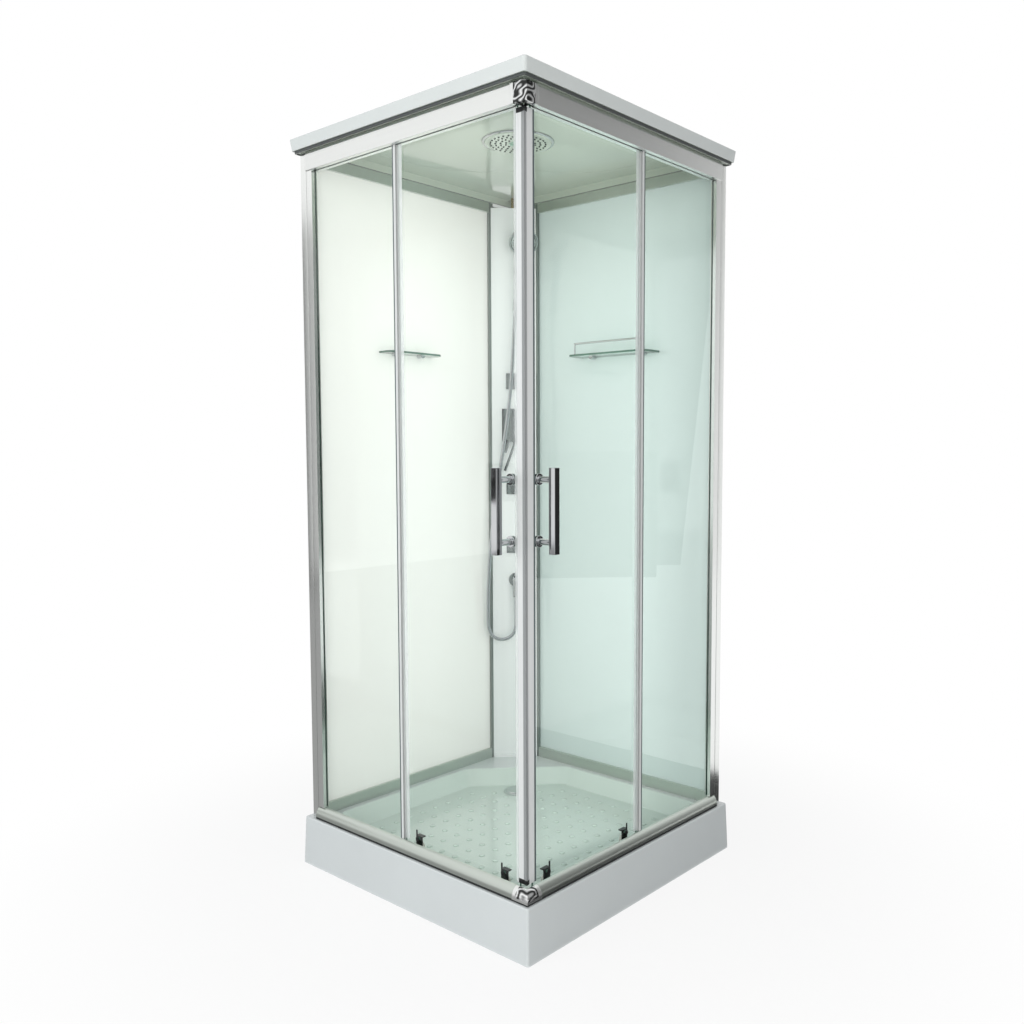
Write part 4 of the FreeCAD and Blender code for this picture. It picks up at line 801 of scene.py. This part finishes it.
def hand_shower():
    """The handset: nut, swelling handle and round head with a ringed spray plate."""
    handle = turned("hand_handle", [
        (0.0086, -0.0180), (0.0099, -0.0168), (0.0100, -0.0150), (0.0100, -0.0030), (0.0092, -0.0018),
        (0.0092, 0.0000), (0.0106, 0.0012), (0.0111, 0.0040), (0.0108, 0.0300), (0.0112, 0.0800),
        (0.0124, 0.1300), (0.0138, 0.1700), (0.0140, 0.1950), (0.0120, 0.2080)], sides=40)
    foot = COLUMN_FRAME @ HAND_FOOT
    way = (COLUMN_FRAME.to_3x3() @ HAND_WAY).normalized()
    place_in_mesh(handle)
    set_at(handle, foot, way)
    head = turned("hand_head", [
        (0.0400, SPRAY_FACE), (0.0412, SPRAY_FACE), (0.0424, 0.0110), (0.0466, 0.0110), (0.0480, 0.0101),
        (0.0485, 0.0085), (0.0485, 0.0030), (0.0476, 0.0000), (0.0440, -0.0040), (0.0360, -0.0078),
        (0.0240, -0.0101), (0.0120, -0.0110)], sides=64)
    face_place = COLUMN_FRAME @ (HAND_FOOT + HAND_WAY)
    face_way = COLUMN_FRAME.to_3x3() @ SPRAY_WAY
    place_in_mesh(head)

    def part_of_head(face):
        reach = face.center.xy.length
        if face.center.z < SPRAY_FACE - 0.0001 or reach > PLATE_RING:
            return 0
        return 1 if reach < PLATE_REACH else 2

    faced(head, (chrome, spray_plate, seal_and_painted_shade), part_of_head)
    handle.data.materials.append(chrome)
    set_at(head, face_place, face_way)
    handset = join_up([head, handle], "hand_shower")
    smooth_off(handset, 40)
    stand_in(handset, "handset")
    turn = face_way.to_track_quat("Z", "Y")
    places = []
    for reach, count in HAND_RINGS:
        places += [face_place + turn @ Vector((x, y, SPRAY_FACE)) for x, y in ring_of(reach, count)]
    add_nozzles("hand_nozzles", spray_nozzle(0.0018, 0.0014), places, face_way, "handset")


JET_HEIGHTS = (1.443, 1.086, 0.883)
JET_FACE = -0.011
JET_RINGS = ((0.0, 1), (0.0065, 8), (0.0125, 14))


def body_sprays():
    """The three square jets, each with rings of soft nozzles on its round face."""
    eased("body_jets", 0.0018, chrome, steps=3)
    out = COLUMN_FRAME.to_3x3() @ Vector((0, -1, 0))
    places = []
    for height in JET_HEIGHTS:
        for reach, count in JET_RINGS:
            places += [route_point(x, JET_FACE, height + z) for x, z in ring_of(reach, count)]
    add_nozzles("jet_nozzles", spray_nozzle(0.0013, 0.0012), places, out, "enclosure")


HEAD_HEIGHT = 1.5
FINE_EDGE = 0.0004
WHEEL_EDGE = 0.0003


def rollers(side):
    """Black guide carriers at the door's foot, chrome caps at its head, white wheels."""
    mounts = eased(f"roller_mounts_{side}", FINE_EDGE, black_plastic, chrome)
    for face in mounts.data.polygons:
        face.material_index = 1 if face.center.z > HEAD_HEIGHT else 0
    for wheel in ("top_wheel_far", "top_wheel_near", "guide_wheel_far", "guide_wheel_near"):
        eased(f"{wheel}_{side}", WHEEL_EDGE, nylon)


SEAL_CUTS = {
    "left": ((0.383, 0.399), Vector((1, 0, 0))),
    "right": ((-0.402, -0.381), Vector((0, 1, 0))),
}
SEAL_ORDER = {"left": (0, 1, 2), "right": (2, 1, 3)}
SEAL_CAPS = (0.184, 1.971)
SEAL_CAP = 4
LIP_CORNER = 0.39


def magnet_seal(side):
    """The door's meeting seal: a clear carrier, a white magnet strip, grey lips and dark end caps."""
    seal = welded(f"magnet_seal_{side}", f"magnet_seal_{side}_striped")
    places, axis = SEAL_CUTS[side]
    for place in places:
        cut_at(seal, axis * place, axis)
    for height in SEAL_CAPS:
        cut_at(seal, (0, 0, height), (0, 0, 1))

    def part_of_seal(face):
        at_lip = abs(face.center.x) > LIP_CORNER and abs(face.center.y) > LIP_CORNER
        if at_lip and not SEAL_CAPS[0] < face.center.z < SEAL_CAPS[1]:
            return SEAL_CAP
        passed = sum(face.center.dot(axis) >= place for place in places)
        return SEAL_ORDER[side][passed]

    faced(seal, (seal_plastic, seal_white, seal_grey, seal_slate, black_plastic), part_of_seal)
    stand_in(seal, f"magnet_seal_{side}")


LAP_CUTS = (0.030, 0.0375)


def overlap_seal(side):
    """The clear strip where the door laps the fixed pane: a slate edge, then a white line."""
    seal = welded(f"overlap_seal_{side}", f"overlap_seal_{side}_striped")
    axis = Vector((-1, 0, 0)) if side == "left" else Vector((0, 1, 0))
    for place in LAP_CUTS:
        cut_at(seal, axis * place, axis)
    faced(seal, (seal_plastic, seal_white, seal_slate),
          lambda face: sum(face.center.dot(axis) >= place for place in LAP_CUTS))
    stand_in(seal, f"overlap_seal_{side}")


TOE_LINE = 0.1435
RAIL_EDGE = 0.0006
HANDLE_EDGE = 0.0028


def frame_side(side, run):
    """The rails, posts, panes and seals of one side; its front runs along one axis."""
    across = Vector((0, 1, 0)) if side == "left" else Vector((1, 0, 0))
    back_run = "y" if run == "x" else "x"
    eased(f"top_rail_{side}", RAIL_EDGE, satin[run])
    # The toe faces below TOE_LINE are painted near black: painted shade for the gap over the tray.
    toe_cut = ((0, 0, TOE_LINE), (0, 0, 1))
    bottom = eased(f"bottom_rail_{side}", RAIL_EDGE, painted_shade_satin[run], seal_and_painted_shade, cuts=[toe_cut])
    for face in bottom.data.polygons:
        toe = face.center.z < TOE_LINE and abs(face.normal.dot(across)) > 0.5
        face.material_index = 1 if toe else 0
    # The wall rails inside the cabin take the darker satin copy as painted shade.
    for rail in ("wall_rail_bottom", "wall_rail_top"):
        eased(f"{rail}_{side}", RAIL_EDGE, painted_shade_satin[back_run])
    for post in ("wall_post", "side_jamb"):
        eased(f"{post}_{side}", RAIL_EDGE, jamb_satin)
    # The rear posts get the darker grey: painted shade beside the column.
    eased(f"rear_post_{side}", RAIL_EDGE, rear_post_painted_shade)
    dress_pane(f"fixed_glass_{side}", front_glass, across)
    dress_pane(f"door_glass_{side}", front_glass, across)
    dress_pane(f"shelf_glass_{side}", shelf_glass, Vector((0, 0, 1)))
    inward = Vector((1, 0, 0)) if side == "left" else Vector((0, -1, 0))
    panel = dress(f"wall_panel_{side}", wall_glass_painted_reflection[side], wall_backing, glass_edge)
    for face in panel.data.polygons:
        lean = face.normal.dot(inward)
        face.material_index = 0 if lean > 0.5 else 1 if lean < -0.5 else 2
    overlap_seal(side)
    magnet_seal(side)
    eased(f"door_handle_{side}", HANDLE_EDGE, chrome, steps=3)
    rollers(side)


CAST_REACH = 0.397
LUG_FOOT = 0.149
CAST_CUTS = (
    ((CAST_REACH, 0, 0), (1, 0, 0)),
    ((0, -CAST_REACH, 0), (0, 1, 0)),
    ((0, 0, LUG_FOOT), (0, 0, 1)),
)


def cast_corner(node):
    """A corner connector: wavy cast chrome with painted dark reflections round the corner, satin where it
    meets the rails.
    """
    corner = eased(node, 0.0015, wavy_chrome_painted_reflection, satin["x"], satin["y"], steps=3, cuts=CAST_CUTS)
    for face in corner.data.polygons:
        low = face.center.z < LUG_FOOT
        along_x = face.center.x < CAST_REACH or (low and abs(face.normal.y) > 0.5)
        along_y = face.center.y > -CAST_REACH or (low and abs(face.normal.x) > 0.5)
        face.material_index = 1 if along_x else 2 if along_y else 0


def fittings():
    """The column with what is fixed to it, the shelves' clamps, the drain and the connectors."""
    for node, width in (("mixer_body", 0.0012), ("mixer_lever", 0.0016), ("diverter_lever", 0.0014),
                        ("hose_outlet", 0.001), ("handset_holder", 0.001), ("shelf_fittings", 0.0006),
                        ("drain_flange", 0.0006), ("drain_cover", 0.0012)):
        eased(node, width, chrome)
    for connector in ("corner_connector_top", "corner_connector_bottom"):
        cast_corner(connector)
    eased("column_panel", 0.001, column_sheet)
    for node, finish in (("tray_frame", zinc), ("levelling_feet", zinc), ("drain_trap", trap_plastic),
                         ("supply_pipes", brass), ("rain_pipe", brass)):
        eased(node, 0.0008, finish)


def soft_card(name, place, size, facing, level, inside_only=False):
    """A studio card that only polished surfaces see, or only those behind the front glass."""
    let_go()
    bpy.ops.mesh.primitive_plane_add(size=1, location=place)
    card = bpy.context.active_object
    card.name = name
    card.scale = (size[0], size[1], 1)
    card.rotation_euler = (Vector(facing) - Vector(place)).to_track_quat("Z", "Y").to_euler()
    material, nodes, links, out = new_finish(name + "_grey")
    glow = nodes.new("ShaderNodeEmission")
    glow.inputs["Color"].default_value = (level, level, level, 1)
    links.new(glow.outputs["Emission"], out.inputs["Surface"])
    if inside_only:
        passed = nodes.new("ShaderNodeLightPath")
        behind_glass = nodes.new("ShaderNodeMath")
        behind_glass.operation = "GREATER_THAN"
        behind_glass.inputs[1].default_value = 0.5
        nothing = nodes.new("ShaderNodeBsdfTransparent")
        mix = nodes.new("ShaderNodeMixShader")
        links.new(passed.outputs["Transparent Depth"], behind_glass.inputs[0])
        links.new(behind_glass.outputs["Value"], mix.inputs["Fac"])
        links.new(nothing.outputs["BSDF"], mix.inputs[1])
        links.new(glow.outputs["Emission"], mix.inputs[2])
        links.new(mix.outputs["Shader"], out.inputs["Surface"])
    card.data.materials.append(material)
    card.visible_camera = False
    card.visible_diffuse = False
    card.visible_shadow = False
    card.visible_transmission = False


def seen_rays(nodes, links):
    """1 where the eye, a mirror or a clear sheet looks, 0 for the light that falls."""
    seen = nodes.new("ShaderNodeLightPath")
    either = nodes.new("ShaderNodeMath")
    either.operation = "MAXIMUM"
    any_of = nodes.new("ShaderNodeMath")
    any_of.operation = "MAXIMUM"
    links.new(seen.outputs["Is Camera Ray"], either.inputs[0])
    links.new(seen.outputs["Is Glossy Ray"], either.inputs[1])
    links.new(either.outputs["Value"], any_of.inputs[0])
    links.new(seen.outputs["Is Transmission Ray"], any_of.inputs[1])
    return any_of.outputs["Value"]


def pale_floor():
    """A white floor that keeps the soft shadow near the object and fades to the backdrop."""
    let_go()
    bpy.ops.mesh.primitive_plane_add(size=60, location=(0, 0, 0))
    floor = bpy.context.active_object
    floor.name = "studio_floor"
    material, nodes, links, out = new_finish("pale_floor")
    lit = nodes.new("ShaderNodeBsdfDiffuse")
    lit.inputs["Color"].default_value = (0.86, 0.86, 0.86, 1)
    white = nodes.new("ShaderNodeEmission")
    white.inputs["Color"].default_value = (1, 1, 1, 1)
    place = nodes.new("ShaderNodeTexCoord")
    reach = nodes.new("ShaderNodeVectorMath")
    reach.operation = "LENGTH"
    fade = nodes.new("ShaderNodeMapRange")
    fade.inputs["From Min"].default_value = 0.6
    fade.inputs["From Max"].default_value = 1.7
    fade.inputs["To Min"].default_value = 0.86
    fade.inputs["To Max"].default_value = 1.0
    fade.interpolation_type = "SMOOTHSTEP"
    share = nodes.new("ShaderNodeMath")
    share.operation = "MULTIPLY"
    mix = nodes.new("ShaderNodeMixShader")
    links.new(place.outputs["Object"], reach.inputs[0])
    links.new(reach.outputs["Value"], fade.inputs["Value"])
    links.new(fade.outputs["Result"], share.inputs[0])
    links.new(seen_rays(nodes, links), share.inputs[1])
    links.new(share.outputs["Value"], mix.inputs["Fac"])
    links.new(lit.outputs["BSDF"], mix.inputs[1])
    links.new(white.outputs["Emission"], mix.inputs[2])
    links.new(mix.outputs["Shader"], out.inputs["Surface"])
    floor.data.materials.append(material)


def grey_cards():
    """What the metal and the glass mirror: grey cards beside, in front of and below the eye."""
    soft_card("card_right", (5.557, 3.152, 3.5), (6.16, 13.0), (0.959, -1.047, 1.0), 0.24)
    soft_card("card_left", (-6.78, -3.5, 1.5), (4.06, 3.2), (-6.78, 0, 1.5), 0.1)
    soft_card("dark_card_right", (3.3, 3.1, 0.75), (1.3, 0.9), (0, 0, 0.75), 0.03)
    soft_card("dark_card_left", (-2.4, -3.3, 1.0), (0.35, 0.25), (-0.2, 0, 1.0), 0.03)
    soft_card("dark_card_front", (4.1, -4.5, 1.1), (0.9, 2.2), (0, 0, 1.1), 0.04, inside_only=True)
    soft_card("dark_card_front_right", (4.9, -3.7, 1.1), (0.9, 2.2), (0, 0, 1.1), 0.04, inside_only=True)
    soft_card("floor_card_right", (4.9255, -1.0, 0.004), (8.949, 4.0), (4.9255, -1.0, 1.0), 0.06)
    soft_card("floor_card_left", (-1.5, -4.9255, 0.004), (9.0, 8.949), (-1.5, -4.9255, 1.0), 0.36)


def white_room():
    """A white backdrop for the eye, a mirror and a clear sheet, and a dim room for the light."""
    world = bpy.data.worlds.new("white_room")
    bpy.context.scene.world = world
    world.use_nodes = True
    nodes = world.node_tree.nodes
    links = world.node_tree.links
    nodes.clear()
    white = nodes.new("ShaderNodeBackground")
    white.inputs["Color"].default_value = (1, 1, 1, 1)
    soft = nodes.new("ShaderNodeBackground")
    soft.inputs["Color"].default_value = (0.97, 0.985, 1, 1)
    soft.inputs["Strength"].default_value = 0.5
    mix = nodes.new("ShaderNodeMixShader")
    out = nodes.new("ShaderNodeOutputWorld")
    links.new(seen_rays(nodes, links), mix.inputs["Fac"])
    links.new(soft.outputs["Background"], mix.inputs[1])
    links.new(white.outputs["Background"], mix.inputs[2])
    links.new(mix.outputs["Shader"], out.inputs["Surface"])


COOL = (0.95, 0.985, 1.0)
WARM = (1.0, 0.985, 0.955)
LAMPS = (
    ("left_lamp", (-1.4, -4.4, 2.4), (0, 0, 1.0), (2.6, 2.6), 60, COOL),
    ("front_lamp", (3.0, -3.4, 1.5), (0, 0, 1.0), (2.6, 2.6), 80, WARM),
    ("cabin_lamp", (0.3, -0.05, 1.1), (-1.0, 0.05, 1.15), (0.55, 1.9), 3.5, WARM),
    ("ceiling_lamp", (0.15, -0.1, 1.78), (-1.0, 0.1, 1.7), (0.4, 0.4), 0.7, WARM),
)


def lamps():
    """Two large soft lamps in front, and two small ones that lift the cabin's inside."""
    for name, place, goal, size, watts, colour in LAMPS:
        lamp = bpy.data.lights.new(name, "AREA")
        lamp.shape = "RECTANGLE"
        lamp.size, lamp.size_y = size
        lamp.energy = watts
        lamp.color = colour
        holder = bpy.data.objects.new(name, lamp)
        holder.location = place
        aim = Vector(goal) - Vector(place)
        holder.rotation_euler = aim.to_track_quat("-Z", "Y").to_euler()
        holder.visible_glossy = False
        holder.visible_camera = False
        bpy.context.scene.collection.objects.link(holder)


EYE_PLACE = (1.9175, -2.0279, 1.2096)
EYE_TILT = 90 - 4.234
EYE_TURN = 40.323
FRAME_PIXELS = 1024
SHIFT_PIXELS = (-57.7, 8.8)


def eye_level_view():
    """The camera, at a standing person's height in front of the doors' corner."""
    view = bpy.data.cameras.new("eye")
    view.sensor_width = 36
    view.lens = 33.58
    view.shift_x = SHIFT_PIXELS[0] / FRAME_PIXELS
    view.shift_y = SHIFT_PIXELS[1] / FRAME_PIXELS
    eye = bpy.data.objects.new("eye", view)
    eye.location = EYE_PLACE
    eye.rotation_euler = (math.radians(EYE_TILT), 0, math.radians(EYE_TURN))
    bpy.context.scene.collection.objects.link(eye)
    bpy.context.scene.camera = eye
    bpy.context.scene.view_settings.view_transform = "Standard"
    bpy.context.scene.cycles.transparent_max_bounces = 32


ribbed_hose()
shower_tray()
tray_treads()
moulded_roof()
ceiling_relief()
rain_rose()
hand_shower()
body_sprays()
fittings()
frame_side("left", "x")
frame_side("right", "y")
pale_floor()
grey_cards()
white_room()
lamps()
eye_level_view()
